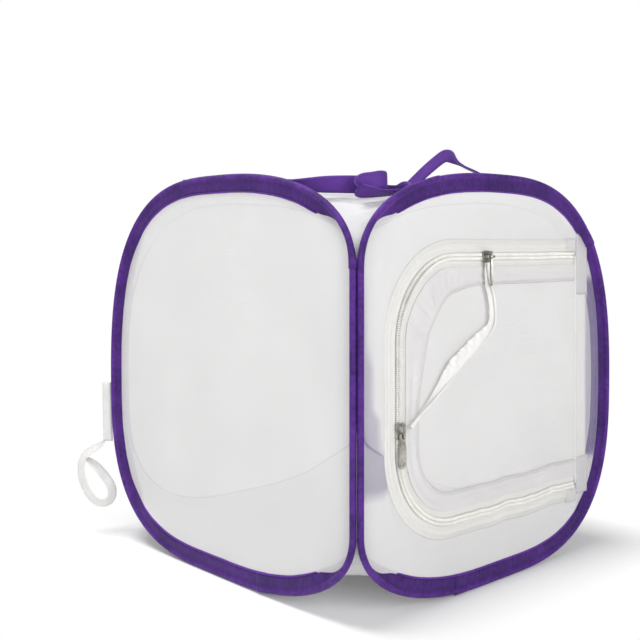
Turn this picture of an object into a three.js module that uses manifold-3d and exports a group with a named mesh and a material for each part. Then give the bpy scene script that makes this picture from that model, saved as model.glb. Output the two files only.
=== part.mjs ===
import * as THREE from 'three';
import { mergeVertices } from 'three/addons/utils/BufferGeometryUtils.js';
import Module from 'manifold-3d';

const wasm = await Module();
wasm.setup();

// A pop-up butterfly habitat, in millimetres, +Z up, with its door towards -Y.
// Four spring-steel loops, each in a fabric sleeve and filled with net, stand in a square.
// A cloth top and floor hang between the loops, and their corners drop as gussets.
// Each loop is drawn in its own face: u runs across it, z up, and depth d into the cage.

// Cage
const cageWidth = 305;
const cageHeight = 310;
const cornerBow = 4; // how far the tension pushes a free corner out, along both faces
const runningGap = 0.3; // clearance between pieces that touch

// Wire loops and their crimp ferrules
const wireRadius = 0.8;
const ferruleBore = 1.05;
const ferruleRadius = 1.45;
const ferruleLength = 22;
const wireEndGap = 1.5;

// Sleeves: a tape folded round the wire, open towards the net
const sleeveWidth = 13;
const channelRadius = 1.9;
const tapeThickness = 0.5;
const mouthHalfGap = 0.7;
const sleeveTwist = Math.PI / 4; // both sleeves of a corner lie in its diagonal plane
const twistStartShare = 0.72;
const twistEndShare = 0.97;

// Net
const netThickness = 0.6;
const netInsertion = 2.5; // how deep the net's edge sits in the sleeve
const netEdgeThickness = 0.3;
const netLip = 1;
const netSlope = 11; // the run in which the net comes forward from a twisted sleeve

// How a loop turns beside a corner. The runs are shares of the loop's half width,
// and the heights where the turns begin are shares of its height.
const sewnCorner = {
  bow: 0,
  lowShare: 0.2,
  highShare: 0.77,
  bottomRunShare: 0.88,
  topRunShare: 1,
  bottomPower: 2.2,
  topPower: 2.4,
};
const freeCorner = {
  bow: cornerBow,
  lowShare: 0.43,
  highShare: 0.43,
  bottomRunShare: 0.88,
  topRunShare: 1,
  bottomPower: 2.9,
  topPower: 3,
};
const stepsPerTurn = 13;

// Top and floor cloth
const clothThickness = 0.8;
const clothTuck = 0.8; // how far the cloth stays short of the sleeve's hem
const gussetEndShare = 0.93; // the twist at which a gusset ends between two sleeves

// Door: a D-shaped zip, hinged by its cloth on a straight seam
const zipLeftMargin = 41.5; // from the cage's side to the zip
const zipTopShare = 0.797; // of the cage's height
const zipBottomShare = 0.18;
const zipCornerRadius = 58;
const hingeMargin = 3; // the least width of net between the hinge's tape and the net's slope
const zipSteps = 9;
const zipSlot = 0.7; // half of the slot between the two coils
const zipTapeWidth = 12;
const zipEndSetback = 4; // the frame's tape and coil stop short of the hinge's seam
const zipTapeThickness = 1;
const doorTapeWidth = 8;
const doorBorderWidth = 10;
const coilWidth = 1.9;
const coilThickness = 1.9;
const layerGap = 0.1; // between flat layers that lie on each other in one face
const hingeTapeWidth = 3.5;
const endTabInset = 13; // how far an end tab reaches back over the zip's end
const endTabWidth = 14;
const endTabHeight = 11;
const endTabThickness = 0.6;

// Sliders
const sliderLength = 11;
const sliderWidth = 9;
const sliderTail = 8;
const noseShare = 0.4; // where the slider's sides begin to round into its nose
const sliderPlate = 1;
const sliderFlange = 1;
const sliderFlangeLength = 8;
const sliderPostLength = 4;
const sliderPostHalf = 0.35;
const bridgeLength = 9;
const bridgeWidth = 1.6;
const bridgeStrap = 0.9;
const bridgeWindow = 2.6;
const bridgeFoot = 1.35;
const upperSliderRun = 38; // how far each slider rests beyond the zip's rounded corner
const lowerSliderRise = 15;

// Pull tabs
const tabLength = 22;
const tabWidth = 6.4;
const tabThickness = 1.2;
const tabEyeRadius = 2.7;
const tabEyeHole = 1.8;
const tabHoleRadius = 1.3;
const upperTabTurn = 0.83; // the upper tab hangs turned on its bridge, in radians

// Ribbon between the pull tabs
const ribbonWidth = 10;
const ribbonThickness = 0.5;
const ribbonSteps = 22;
const ribbonDepth = -0.75;

// Handles and storage tie
const strapWidth = 13;
const strapThickness = 1.6;
const handleRise = 40;
const handleCentreU = 22;
const handleHalfSpan = 68;
const handleSteps = 18;
const handleTurn = 1.1; // how far the second leg turns, in radians
const flopStartShare = 0.36; // where the flopped handle's ends are sewn to the left loop
const flopEndShare = -0.54;
const flopSteps = 34;
const tieTabWidth = 8;
const tieTabLength = 52;
const tieThickness = 0.9;
const tieHeight = 134;
const tieBandWidth = 7;
const tieReach = 26; // how far the tie's band stands out from the corner
const tieDrop = 55;
const tieLean = 0.8;
const tieSteps = 26;

// Worked out from the sizes above
const half = cageWidth / 2;
const zipLeftU = zipLeftMargin - half;
const zipTop = zipTopShare * cageHeight;
const zipBottom = zipBottomShare * cageHeight;
const upperSliderU = zipLeftU + zipCornerRadius + upperSliderRun;
const lowerSliderZ = zipBottom + zipCornerRadius + lowerSliderRise;
const sleeveRadius = channelRadius + tapeThickness;
const bulgeRadius = sleeveRadius / Math.cos(Math.PI / 8);
const wireDepth = sleeveRadius;
const cornerInset = wireDepth + (sleeveRadius + runningGap / 2) * Math.SQRT2;
const loopHalf = half - cornerInset;
const loopBottom = sleeveRadius;
const loopHeight = cageHeight - 2 * sleeveRadius;
const hemLength = sleeveWidth - sleeveRadius;
const hemHalf = mouthHalfGap + tapeThickness;

// Colours from the photograph
const purple = () => new THREE.MeshStandardMaterial({ color: 0x4f2390, roughness: 0.62, metalness: 0 });
const strapPurple = () => new THREE.MeshStandardMaterial({ color: 0x5a2b9c, roughness: 0.7, metalness: 0 });
const netWhite = () => new THREE.MeshStandardMaterial({ color: 0xebe9e8, roughness: 0.85, metalness: 0 });
const clothWhite = () => new THREE.MeshStandardMaterial({ color: 0xf2f1ef, roughness: 0.8, metalness: 0 });
const zipWhite = () => new THREE.MeshStandardMaterial({ color: 0xefece2, roughness: 0.7, metalness: 0 });
const coilWhite = () => new THREE.MeshStandardMaterial({ color: 0xf3f1ea, roughness: 0.4, metalness: 0 });
const nickel = () => new THREE.MeshStandardMaterial({ color: 0xb9b6ae, roughness: 0.28, metalness: 1 });
const steel = () => new THREE.MeshStandardMaterial({ color: 0x8d8f92, roughness: 0.4, metalness: 1 });
const satinWhite = () => new THREE.MeshStandardMaterial({ color: 0xf6f4ee, roughness: 0.35, metalness: 0 });

// General shapes

function smooth(x) {
  const t = Math.min(Math.max(x, 0), 1);
  return t * t * (3 - 2 * t);
}

// A closed body from its points and triangles, turned so that its faces point out.
function solid(points, triangles) {
  let volume = 0;
  for (const [a, b, c] of triangles) {
    const p = points[a];
    const q = points[b];
    const r = points[c];
    volume += p.x * (q.y * r.z - q.z * r.y) + p.y * (q.z * r.x - q.x * r.z) + p.z * (q.x * r.y - q.y * r.x);
  }
  const index = triangles.flatMap(([a, b, c]) => (volume < 0 ? [a, c, b] : [a, b, c]));
  const positions = points.flatMap((p) => [p.x, p.y, p.z]);
  const geometry = new THREE.BufferGeometry();
  geometry.setAttribute('position', new THREE.Float32BufferAttribute(positions, 3));
  geometry.setIndex(index);
  return geometry;
}

// A body through rings of points. It closes on itself, or ends in flat caps.
function sweep(rings, closed) {
  const size = rings[0].length;
  const points = rings.flat();
  const triangles = [];
  const last = closed ? rings.length : rings.length - 1;
  for (let i = 0; i < last; i++) {
    const here = i * size;
    const next = ((i + 1) % rings.length) * size;
    for (let j = 0; j < size; j++) {
      const k = (j + 1) % size;
      triangles.push([here + j, here + k, next + k]);
      triangles.push([here + j, next + k, next + j]);
    }
  }
  if (!closed) {
    const end = (rings.length - 1) * size;
    for (let j = 1; j < size - 1; j++) {
      triangles.push([0, j + 1, j]);
      triangles.push([end, end + j, end + j + 1]);
    }
  }
  return solid(points, triangles);
}

// A thin sheet between an outer and an inner copy of one patch, closed along its borders.
function sheet(outerPoints, innerPoints, triangles, borders) {
  const count = outerPoints.length;
  const all = triangles.flatMap(([a, b, c]) => [[a, b, c], [a + count, c + count, b + count]]);
  for (const border of borders) {
    for (let i = 0; i < border.length; i++) {
      const a = border[i];
      const b = border[(i + 1) % border.length];
      all.push([b, a, a + count]);
      all.push([b, a + count, b + count]);
    }
  }
  return solid([...outerPoints, ...innerPoints], all);
}

function extrude(shape, depth, curveSegments) {
  return new THREE.ExtrudeGeometry(shape, { depth, bevelEnabled: false, curveSegments });
}

function toManifold(geometry) {
  const bare = geometry.clone();
  bare.deleteAttribute('normal');
  bare.deleteAttribute('uv');
  const merged = mergeVertices(bare, 1e-4);
  return new wasm.Manifold(new wasm.Mesh({
    numProp: 3,
    vertProperties: new Float32Array(merged.attributes.position.array),
    triVerts: new Uint32Array(merged.index.array),
  }));
}

function fromManifold(body) {
  const mesh = body.getMesh();
  const geometry = new THREE.BufferGeometry();
  geometry.setAttribute('position', new THREE.BufferAttribute(new Float32Array(mesh.vertProperties), 3));
  geometry.setIndex(new THREE.BufferAttribute(new Uint32Array(mesh.triVerts), 1));
  return geometry;
}

// Loops

// One quarter of a loop's outline, from its run along u to its upright side.
function turn(run, rise, power) {
  const places = [];
  for (let i = 0; i <= stepsPerTurn; i++) {
    const angle = (Math.PI / 2) * (i / stepsPerTurn);
    places.push([run * Math.sin(angle) ** (2 / power), rise * (1 - Math.cos(angle) ** (2 / power))]);
  }
  return places;
}

// The wire's outline beside one corner, from the bottom's middle to the top's middle.
function side(corner, sign) {
  const low = corner.lowShare * loopHeight;
  const high = corner.highShare * loopHeight;
  const bottomRun = corner.bottomRunShare * loopHalf;
  const topRun = corner.topRunShare * loopHalf;
  const places = [[0, 0]];
  for (const [u, z] of turn(bottomRun, low, corner.bottomPower)) places.push([loopHalf - bottomRun + u, z]);
  if (high > low) places.push([loopHalf, (low + high) / 2]);
  const top = turn(topRun, loopHeight - high, corner.topPower).reverse();
  const from = high > low ? 0 : 1;
  for (const [u, z] of top.slice(from)) places.push([loopHalf - topRun + u, loopHeight - z]);
  return places.map(([u, z]) => {
    const bend = corner.bow * (1 - (2 * z / loopHeight - 1) ** 2) * smooth(u / loopHalf);
    return { u: sign * (u + bend), z: loopBottom + z, d: wireDepth - bend, share: u / loopHalf };
  });
}

// The stations of a loop: wire centre, flat direction towards the hem, thickness direction.
function stations(minusCorner, plusCorner) {
  const plus = side(plusCorner, 1);
  const minus = side(minusCorner, -1).reverse();
  const places = [...plus, ...minus.slice(1, -1)];
  const count = places.length;
  return places.map((place, i) => {
    const next = places[(i + 1) % count];
    const last = places[(i + count - 1) % count];
    const ahead = new THREE.Vector2(next.u - place.u, next.z - place.z).normalize();
    const behind = new THREE.Vector2(place.u - last.u, place.z - last.z).normalize();
    const tangent = ahead.add(behind).normalize();
    const twist = sleeveTwist * smooth((place.share - twistStartShare) / (twistEndShare - twistStartShare));
    const inward = new THREE.Vector3(-tangent.y, 0, tangent.x);
    const depth = new THREE.Vector3(0, 1, 0);
    const flat = inward.clone().multiplyScalar(Math.cos(twist)).addScaledVector(depth, Math.sin(twist));
    const thick = depth.clone().multiplyScalar(Math.cos(twist)).addScaledVector(inward, -Math.sin(twist));
    const centre = new THREE.Vector3(place.u, place.d - half, place.z);
    return { centre, flat, thick, twist, inward };
  });
}

function at(station, along, across) {
  return station.centre.clone().addScaledVector(station.flat, along).addScaledVector(station.thick, across);
}

function wireLoop(loop) {
  const sides = 6;
  const path = [...loop, loop[0]].map((station) => ({ ...station, centre: station.centre.clone() }));
  path[0].centre.x += wireEndGap / 2;
  path[path.length - 1].centre.x -= wireEndGap / 2;
  const rings = path.map((station) => Array.from({ length: sides }, (_, j) => {
    const angle = (2 * Math.PI * j) / sides;
    return at(station, wireRadius * Math.cos(angle), wireRadius * Math.sin(angle));
  }));
  return sweep(rings, false);
}

function ferrule(loop) {
  const profile = [
    [ferruleBore, -ferruleLength / 2],
    [ferruleRadius, -ferruleLength / 2],
    [ferruleRadius, ferruleLength / 2],
    [ferruleBore, ferruleLength / 2],
    [ferruleBore, -ferruleLength / 2],
  ].map(([r, y]) => new THREE.Vector2(r, y));
  const tube = new THREE.LatheGeometry(profile, 10);
  tube.rotateZ(Math.PI / 2);
  tube.translate(0, loop[0].centre.y, loop[0].centre.z);
  return tube;
}

// The folded tape: in section a bulge round the wire that tapers to the open hem.
function binding(loop) {
  const eighth = Math.PI / 8;
  const round = (radius, k) => [radius * Math.cos(k * eighth), radius * Math.sin(k * eighth)];
  const outer = [3, 5, 7, 9, 11, 13].map((k) => round(bulgeRadius, k));
  const inner = [12, 10, 8, 6, 4].map((k) => round(channelRadius, k));
  const section = [
    [hemLength, hemHalf],
    ...outer,
    [hemLength, -hemHalf],
    [hemLength, -mouthHalfGap],
    ...inner,
    [hemLength, mouthHalfGap],
  ];
  return sweep(loop.map((station) => section.map(([x, y]) => at(station, x, y))), true);
}

// Where the net's flat middle ends beside the sleeve. A twisted sleeve needs a longer slope.
function flatEdge(loop) {
  return loop.map((station) => {
    const run = netLip + netSlope * (station.twist / sleeveTwist);
    const place = at(station, hemLength + netLip, 0).addScaledVector(station.inward, run);
    return place.setY(wireDepth - half);
  });
}

// How far that flat middle reaches towards +u at a height.
function flatReach(height) {
  const places = flatEdge(stations(sewnCorner, freeCorner)).filter((place) => place.x > 0);
  const next = places.findIndex((place) => place.z > height);
  const above = places[next];
  const below = places[next - 1];
  return below.x + ((above.x - below.x) * (height - below.z)) / (above.z - below.z);
}

// A face's net: its edge sits in the sleeve, its middle is flat, and it may have an opening.
function net(loop, opening) {
  const depth = new THREE.Vector3(0, 1, 0);
  const outer = [];
  const inner = [];
  const count = loop.length;
  const rows = [[hemLength - netInsertion, netEdgeThickness / 2], [hemLength + netLip, netThickness / 2]];
  for (const [along, across] of rows) {
    for (const station of loop) {
      outer.push(at(station, along, -across));
      inner.push(at(station, along, across));
    }
  }
  const edgePlaces = flatEdge(loop);
  const flatPlaces = [...edgePlaces, ...opening.map(([u, z]) => new THREE.Vector3(u, wireDepth - half, z))];
  for (const place of flatPlaces) {
    outer.push(place.clone().addScaledVector(depth, -netThickness / 2));
    inner.push(place.clone().addScaledVector(depth, netThickness / 2));
  }
  const triangles = [];
  for (const row of [0, 1]) {
    for (let i = 0; i < count; i++) {
      const j = (i + 1) % count;
      triangles.push([row * count + i, row * count + j, (row + 1) * count + j]);
      triangles.push([row * count + i, (row + 1) * count + j, (row + 1) * count + i]);
    }
  }
  const contour = edgePlaces.map((p) => new THREE.Vector2(p.x, p.z));
  const hole = opening.map(([u, z]) => new THREE.Vector2(u, z));
  const faces = THREE.ShapeUtils.triangulateShape(contour, hole.length ? [hole] : []);
  const from = 2 * count;
  for (const [a, b, c] of faces) triangles.push([a + from, b + from, c + from]);
  const edge = Array.from({ length: count }, (_, i) => i);
  const borders = [edge];
  if (hole.length) borders.push(Array.from({ length: hole.length }, (_, i) => from + count + i));
  return sheet(outer, inner, triangles, borders);
}

// Top and floor

// Where the cloth meets one side of a loop, from the middle to the gusset's narrow end.
function clothEdge(loop, fromTop, sign) {
  const middle = loopBottom + loopHeight / 2;
  const kept = loop.filter((s) => (fromTop ? s.centre.z > middle : s.centre.z < middle));
  const branch = kept.filter((s) => s.centre.x * sign > -1e-6 && s.twist < sleeveTwist * gussetEndShare);
  branch.sort((a, b) => Math.abs(a.centre.x) - Math.abs(b.centre.x));
  return branch.map((s) => at(s, hemLength - clothTuck, hemHalf + runningGap + clothThickness / 2));
}

// The cloth is flat in the middle. Each corner is ruled by level lines between two loops.
function clothPanel(edges, up) {
  const centres = [];
  const normals = [];
  const triangles = [];
  const vertical = new THREE.Vector3(0, 0, up ? 1 : -1);
  const middles = edges.map((edge) => edge.right[0]);
  for (const place of middles) {
    centres.push(place);
    normals.push(vertical);
  }
  triangles.push([0, 1, 2], [0, 2, 3]);
  const border = [];
  for (let k = 0; k < middles.length; k++) {
    const after = (k + 1) % middles.length;
    const here = edges[k].right;
    const there = edges[after].left;
    let row = [k, after];
    const hereRow = [];
    const thereRow = [];
    for (let i = 1; i < here.length; i++) {
      const outward = here[i].clone().add(there[i]).setZ(0).normalize();
      const last = here[i - 1].clone().add(there[i - 1]).multiplyScalar(0.5);
      const next = here[Math.min(i + 1, here.length - 1)].clone();
      next.add(there[Math.min(i + 1, here.length - 1)]).multiplyScalar(0.5);
      const climb = next.sub(last);
      const rise = new THREE.Vector3(0, 0, climb.dot(outward));
      const normal = outward.clone().multiplyScalar(-climb.z).add(rise).normalize();
      if (!up) normal.negate();
      const a = centres.push(here[i]) - 1;
      normals.push(normal);
      const b = centres.push(there[i]) - 1;
      normals.push(normal);
      triangles.push([row[0], a, b], [row[0], b, row[1]]);
      row = [a, b];
      hereRow.push(a);
      thereRow.push(b);
    }
    border.push(k, ...hereRow, ...thereRow.reverse());
  }
  const lift = clothThickness / 2;
  const outer = centres.map((p, i) => p.clone().addScaledVector(normals[i], lift));
  const inner = centres.map((p, i) => p.clone().addScaledVector(normals[i], -lift));
  return sheet(outer, inner, triangles, [border]);
}

// Door

// The zip's line moved outwards by an offset, from its lower end round to its upper end.
function zipLine(offset, endU) {
  const radius = zipCornerRadius + offset;
  const left = zipLeftU + zipCornerRadius;
  const places = [[endU, zipBottom - offset]];
  for (let i = 0; i <= zipSteps; i++) {
    const angle = -Math.PI / 2 - (Math.PI / 2) * (i / zipSteps);
    places.push([left + radius * Math.cos(angle), zipBottom + zipCornerRadius + radius * Math.sin(angle)]);
  }
  for (let i = 0; i <= zipSteps; i++) {
    const angle = Math.PI - (Math.PI / 2) * (i / zipSteps);
    places.push([left + radius * Math.cos(angle), zipTop - zipCornerRadius + radius * Math.sin(angle)]);
  }
  places.push([endU, zipTop + offset]);
  return places;
}

// A flat band of the front face between two offsets of the zip's line.
function zipBand(fromOffset, toOffset, endU, fromDepth, toDepth) {
  const near = zipLine(fromOffset, endU);
  const far = zipLine(toOffset, endU);
  const rings = near.map(([u, z], i) => [
    new THREE.Vector3(u, fromDepth - half, z),
    new THREE.Vector3(far[i][0], fromDepth - half, far[i][1]),
    new THREE.Vector3(far[i][0], toDepth - half, far[i][1]),
    new THREE.Vector3(u, toDepth - half, z),
  ]);
  return sweep(rings, false);
}

function slab(u0, u1, d0, d1, z0, z1) {
  const box = new THREE.BoxGeometry(u1 - u0, d1 - d0, z1 - z0);
  box.translate((u0 + u1) / 2, (d0 + d1) / 2 - half, (z0 + z1) / 2);
  return box;
}

const tapeFront = wireDepth - zipTapeThickness / 2;
const tapeBack = wireDepth + zipTapeThickness / 2;
const coilFront = tapeFront - layerGap - coilThickness;
const coilBack = tapeFront - layerGap;
const hingeReach = Math.min(flatReach(zipTop), flatReach(zipBottom)) - hingeMargin;
const doorHingeU = hingeReach - runningGap - hingeTapeWidth;
const doorEndU = doorHingeU - runningGap;
const zipEndU = doorHingeU - zipEndSetback;
const hingeTapeEndU = doorHingeU + hingeTapeWidth;

// The opening in the front net, cut back at its hinge end where the loop turns.
function netOpening() {
  const line = zipLine(zipTapeWidth + runningGap, zipEndU + runningGap);
  const seam = hingeTapeEndU + runningGap;
  return [[seam, zipBottom], ...line, [seam, zipTop]];
}

const slotFront = coilFront - runningGap;
const slotBack = tapeBack + runningGap;
const plateFront = slotFront - sliderPlate;
const windowMiddle = plateFront - bridgeWindow / 2;
const strapMiddle = plateFront - bridgeWindow - bridgeStrap / 2;

// A slider's plate, wider at its nose, where it takes in the two sides of the zip.
function sliderPlateAt(from) {
  const long = sliderLength / 2;
  const nose = sliderWidth / 2;
  const tail = sliderTail / 2;
  const shape = new THREE.Shape();
  shape.moveTo(-long, -tail);
  shape.lineTo(long * noseShare, -nose);
  shape.quadraticCurveTo(long, -nose, long, -nose / 2);
  shape.lineTo(long, nose / 2);
  shape.quadraticCurveTo(long, nose, long * noseShare, nose);
  shape.lineTo(-long, tail);
  const plate = extrude(shape, sliderPlate, 4);
  plate.rotateX(-Math.PI / 2);
  plate.translate(0, from, 0);
  return toManifold(plate);
}

// The bridge arches over the outer plate and holds the pull tab.
function sliderBridge() {
  const long = bridgeLength / 2;
  const window = sliderPlate / 2 + bridgeWindow;
  const top = window + bridgeStrap;
  const arch = new THREE.Shape();
  arch.moveTo(-long, 0);
  arch.lineTo(-long, window);
  arch.quadraticCurveTo(-long, top, -long + bridgeStrap, top);
  arch.lineTo(long - bridgeStrap, top);
  arch.quadraticCurveTo(long, top, long, window);
  arch.lineTo(long, 0);
  arch.lineTo(long - bridgeFoot, 0);
  arch.lineTo(long - bridgeFoot, window);
  arch.lineTo(-long + bridgeFoot, window);
  arch.lineTo(-long + bridgeFoot, 0);
  const bridge = extrude(arch, bridgeWidth, 4);
  bridge.translate(0, 0, -bridgeWidth / 2);
  bridge.rotateX(Math.PI);
  bridge.translate(0, slotFront - sliderPlate / 2, 0);
  return toManifold(bridge);
}

// The slider lies along its own x: an outer plate over both coils with a flange beside each,
// a post in the slot between them, and the bridge. Its inner plate lies under the door's
// tape only, so that the door opens with its sliders at any place.
function slider(doorSide) {
  const wide = sliderWidth + 2 * sliderPlate;
  const frameHalf = new THREE.BoxGeometry(2 * sliderLength, wide, wide);
  frameHalf.translate(0, slotBack + sliderPlate / 2, -doorSide * (sliderPostHalf + wide / 2));
  const innerPlate = sliderPlateAt(slotBack).subtract(toManifold(frameHalf));
  let body = sliderPlateAt(plateFront).add(innerPlate).add(sliderBridge());
  const postHeight = slotBack - slotFront + sliderPlate;
  const post = new THREE.BoxGeometry(sliderPostLength, postHeight, 2 * sliderPostHalf);
  post.translate(sliderLength / 4, (slotBack + slotFront) / 2, 0);
  body = body.add(toManifold(post));
  const flangeHeight = tapeFront - runningGap - slotFront + sliderPlate / 2;
  for (const side of [-1, 1]) {
    const flange = new THREE.BoxGeometry(sliderFlangeLength, flangeHeight, sliderFlange);
    const across = zipSlot + coilWidth + runningGap + sliderFlange / 2;
    flange.translate(0, tapeFront - runningGap - flangeHeight / 2, side * across);
    body = body.add(toManifold(flange));
  }
  return fromManifold(body);
}

// A pull tab hangs down from its eye at the origin, flat across its own y.
function pullTab() {
  const eye = tabEyeRadius;
  const wide = tabWidth / 2;
  const low = -tabLength + wide;
  const shape = new THREE.Shape();
  const start = Math.PI * 1.25;
  shape.moveTo(eye * Math.cos(start), eye * Math.sin(start));
  shape.absarc(0, 0, eye, start, -Math.PI / 4, true);
  shape.lineTo(wide * 0.75, -eye * 2);
  shape.lineTo(wide, -eye * 3);
  shape.lineTo(wide, low);
  shape.absarc(0, low, wide, 0, -Math.PI, true);
  shape.lineTo(-wide, -eye * 3);
  shape.lineTo(-wide * 0.75, -eye * 2);
  const hole = (radius, z) => {
    const path = new THREE.Path();
    path.absarc(0, z, radius, 0, 2 * Math.PI, false);
    return path;
  };
  shape.holes.push(hole(tabEyeHole, 0), hole(tabHoleRadius, low));
  const geometry = extrude(shape, tabThickness, 7);
  geometry.translate(0, 0, -tabThickness / 2);
  geometry.rotateX(Math.PI / 2);
  return geometry;
}

// Straps

// A flat strap along a curve. The turn function gives its width direction at each share.
function strap(curve, width, thickness, steps, widthAt) {
  const rings = [];
  for (let i = 0; i <= steps; i++) {
    const share = i / steps;
    const centre = curve.getPoint(share);
    const tangent = curve.getTangent(share);
    const across = widthAt(share, tangent);
    across.addScaledVector(tangent, -across.dot(tangent)).normalize();
    const normal = new THREE.Vector3().crossVectors(tangent, across);
    rings.push([[-1, -1], [1, -1], [1, 1], [-1, 1]].map(([a, b]) => centre.clone()
      .addScaledVector(across, (a * width) / 2)
      .addScaledVector(normal, (b * thickness) / 2)));
  }
  return sweep(rings, false);
}

const clothTop = cageHeight - sleeveWidth + clothTuck + clothThickness / 2;
const strapDepth = wireDepth + bulgeRadius + runningGap + strapThickness / 2;

// The standing handle: an arch over a face's top. Its first leg lies flat along the
// face and its second is turned edge on.
function archHandle() {
  const foot = clothTop + runningGap + strapWidth / 2;
  const rise = cageHeight + handleRise - foot - strapWidth / 2;
  const points = [];
  for (let i = 0; i <= handleSteps / 2; i++) {
    const share = (2 * i) / handleSteps;
    const u = handleCentreU + handleHalfSpan * (1 - 2 * share);
    points.push(new THREE.Vector3(u, strapDepth - half, foot + rise * Math.sin(Math.PI * share)));
  }
  const curve = new THREE.CatmullRomCurve3(points);
  return strap(curve, strapWidth, strapThickness, handleSteps, (share, tangent) => {
    const turn = handleTurn * smooth((share - 0.5) * 4) * smooth((1 - share) * 6);
    const flat = new THREE.Vector3(-tangent.z, 0, tangent.x).multiplyScalar(Math.cos(turn));
    return flat.add(new THREE.Vector3(0, Math.sin(turn), 0));
  });
}

// Where the flopped handle runs over the top cloth, as shares of the half width.
// It leaves the left loop, stands on its edge, folds back and returns to the loop.
const flopRouteShares = [
  [-0.93, 0.29],
  [-0.8, 0.12],
  [-0.68, -0.2],
  [-0.62, -0.5],
  [-0.6, -0.68],
  [-0.63, -0.8],
  [-0.7, -0.83],
  [-0.755, -0.76],
  [-0.79, -0.66],
  [-0.87, -0.6],
];

// The cloth's level at a place: it follows the loop's fall towards the sewn corner.
function clothFall(x, y) {
  const reach = Math.max(Math.abs(x) + Math.abs(y) - half, 0);
  const share = Math.min(reach / loopHalf, 1);
  const drop = 1 - (1 - share ** sewnCorner.topPower) ** (1 / sewnCorner.topPower);
  return drop * loopHeight * (1 - sewnCorner.highShare);
}

function floppedHandle() {
  const sewnX = strapDepth - half;
  const first = [sewnX, flopStartShare * half];
  const last = [sewnX, flopEndShare * half];
  const route = [first, ...flopRouteShares.map(([x, y]) => [x * half, y * half]), last];
  const level = clothTop + runningGap + strapWidth / 2;
  const points = route.map(([x, y]) => new THREE.Vector3(x, y, level - (y < 0 ? clothFall(x, y) : 0)));
  const curve = new THREE.CatmullRomCurve3(points, false, 'centripetal');
  return strap(curve, strapWidth, strapThickness, flopSteps, () => new THREE.Vector3(0, 0, 1));
}

// The ribbon runs from the upper slider down and across to the lower slider.
function ribbon() {
  const top = zipTop - sliderWidth / 2 - ribbonWidth / 4;
  const end = lowerSliderZ + sliderLength / 2 + runningGap;
  const reach = upperSliderU - zipLeftU;
  const drop = top - end;
  const places = [
    [upperSliderU - sliderTail / 4, top],
    [upperSliderU + 0.04 * reach, top - 0.2 * drop],
    [upperSliderU + 0.07 * reach, top - 0.36 * drop],
    [upperSliderU + 0.01 * reach, top - 0.57 * drop],
    [upperSliderU - 0.5 * reach, top - 0.85 * drop],
    [zipLeftU + 0.05 * reach, end],
  ];
  const points = places.map(([u, z]) => new THREE.Vector3(u, ribbonDepth - half, z));
  const curve = new THREE.CatmullRomCurve3(points);
  const swing = Math.abs(coilFront - ribbonDepth) * 2 - ribbonThickness - 2 * layerGap;
  return strap(curve, ribbonWidth, ribbonThickness, ribbonSteps, (share, tangent) => {
    const lean = (swing / ribbonWidth) * Math.sin(3 * Math.PI * share);
    return new THREE.Vector3(-tangent.z, lean, tangent.x);
  });
}

// The storage tie hangs from the left loop's far corner: a webbing tab and an elastic band.
// Both are drawn in the corner's diagonal plane, t outwards from the sleeves.
const outwardX = -Math.SQRT1_2;
const outwardY = Math.SQRT1_2;
const tieStart = runningGap - cornerInset * Math.SQRT1_2 + sleeveRadius - wireDepth * Math.SQRT1_2;

function diagonal(t, z) {
  const bow = cornerBow * (1 - (2 * (z - loopBottom) / loopHeight - 1) ** 2);
  const corner = half + Math.max(bow, 0);
  return new THREE.Vector3(-corner + t * outwardX, corner + t * outwardY, z);
}

function tieTab() {
  const rings = [];
  const count = 4;
  const along = new THREE.Vector3(outwardY, -outwardX, 0).multiplyScalar(tieThickness / 2);
  for (let i = 0; i <= count; i++) {
    const z = tieHeight - (tieTabLength * i) / count;
    const near = diagonal(tieStart, z);
    const far = diagonal(tieStart + tieTabWidth, z);
    const front = [near.clone().add(along), far.clone().add(along)];
    const back = [far.clone().sub(along), near.clone().sub(along)];
    rings.push([...front, ...back]);
  }
  return sweep(rings, false);
}

// The band's loop, as shares of its reach and its drop, from the tab's foot and back.
const tieLoopShares = [
  [0.28, 0],
  [0.5, 0.1],
  [0.85, 0.22],
  [1, 0.42],
  [0.86, 0.72],
  [0.5, 0.93],
  [0.2, 0.98],
  [0.13, 0.84],
  [0.34, 0.62],
  [0.66, 0.38],
];

function tieBand() {
  const top = tieHeight - tieTabLength - runningGap;
  const points = tieLoopShares.map(([t, z]) => diagonal(tieStart + t * tieReach, top - z * tieDrop));
  const curve = new THREE.CatmullRomCurve3(points, false, 'centripetal');
  const facing = new THREE.Vector3(outwardY, -outwardX, 0);
  return strap(curve, tieBandWidth, tieThickness / 2, tieSteps, (share, tangent) => {
    const across = new THREE.Vector3().crossVectors(facing, tangent).normalize();
    return facing.clone().addScaledVector(across, tieLean * Math.sin(Math.PI * share));
  });
}

// Assembly

const habitat = new THREE.Group();

function add(parent, name, geometry, material) {
  const mesh = new THREE.Mesh(geometry, material());
  mesh.name = name;
  parent.add(mesh);
  return mesh;
}

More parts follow.
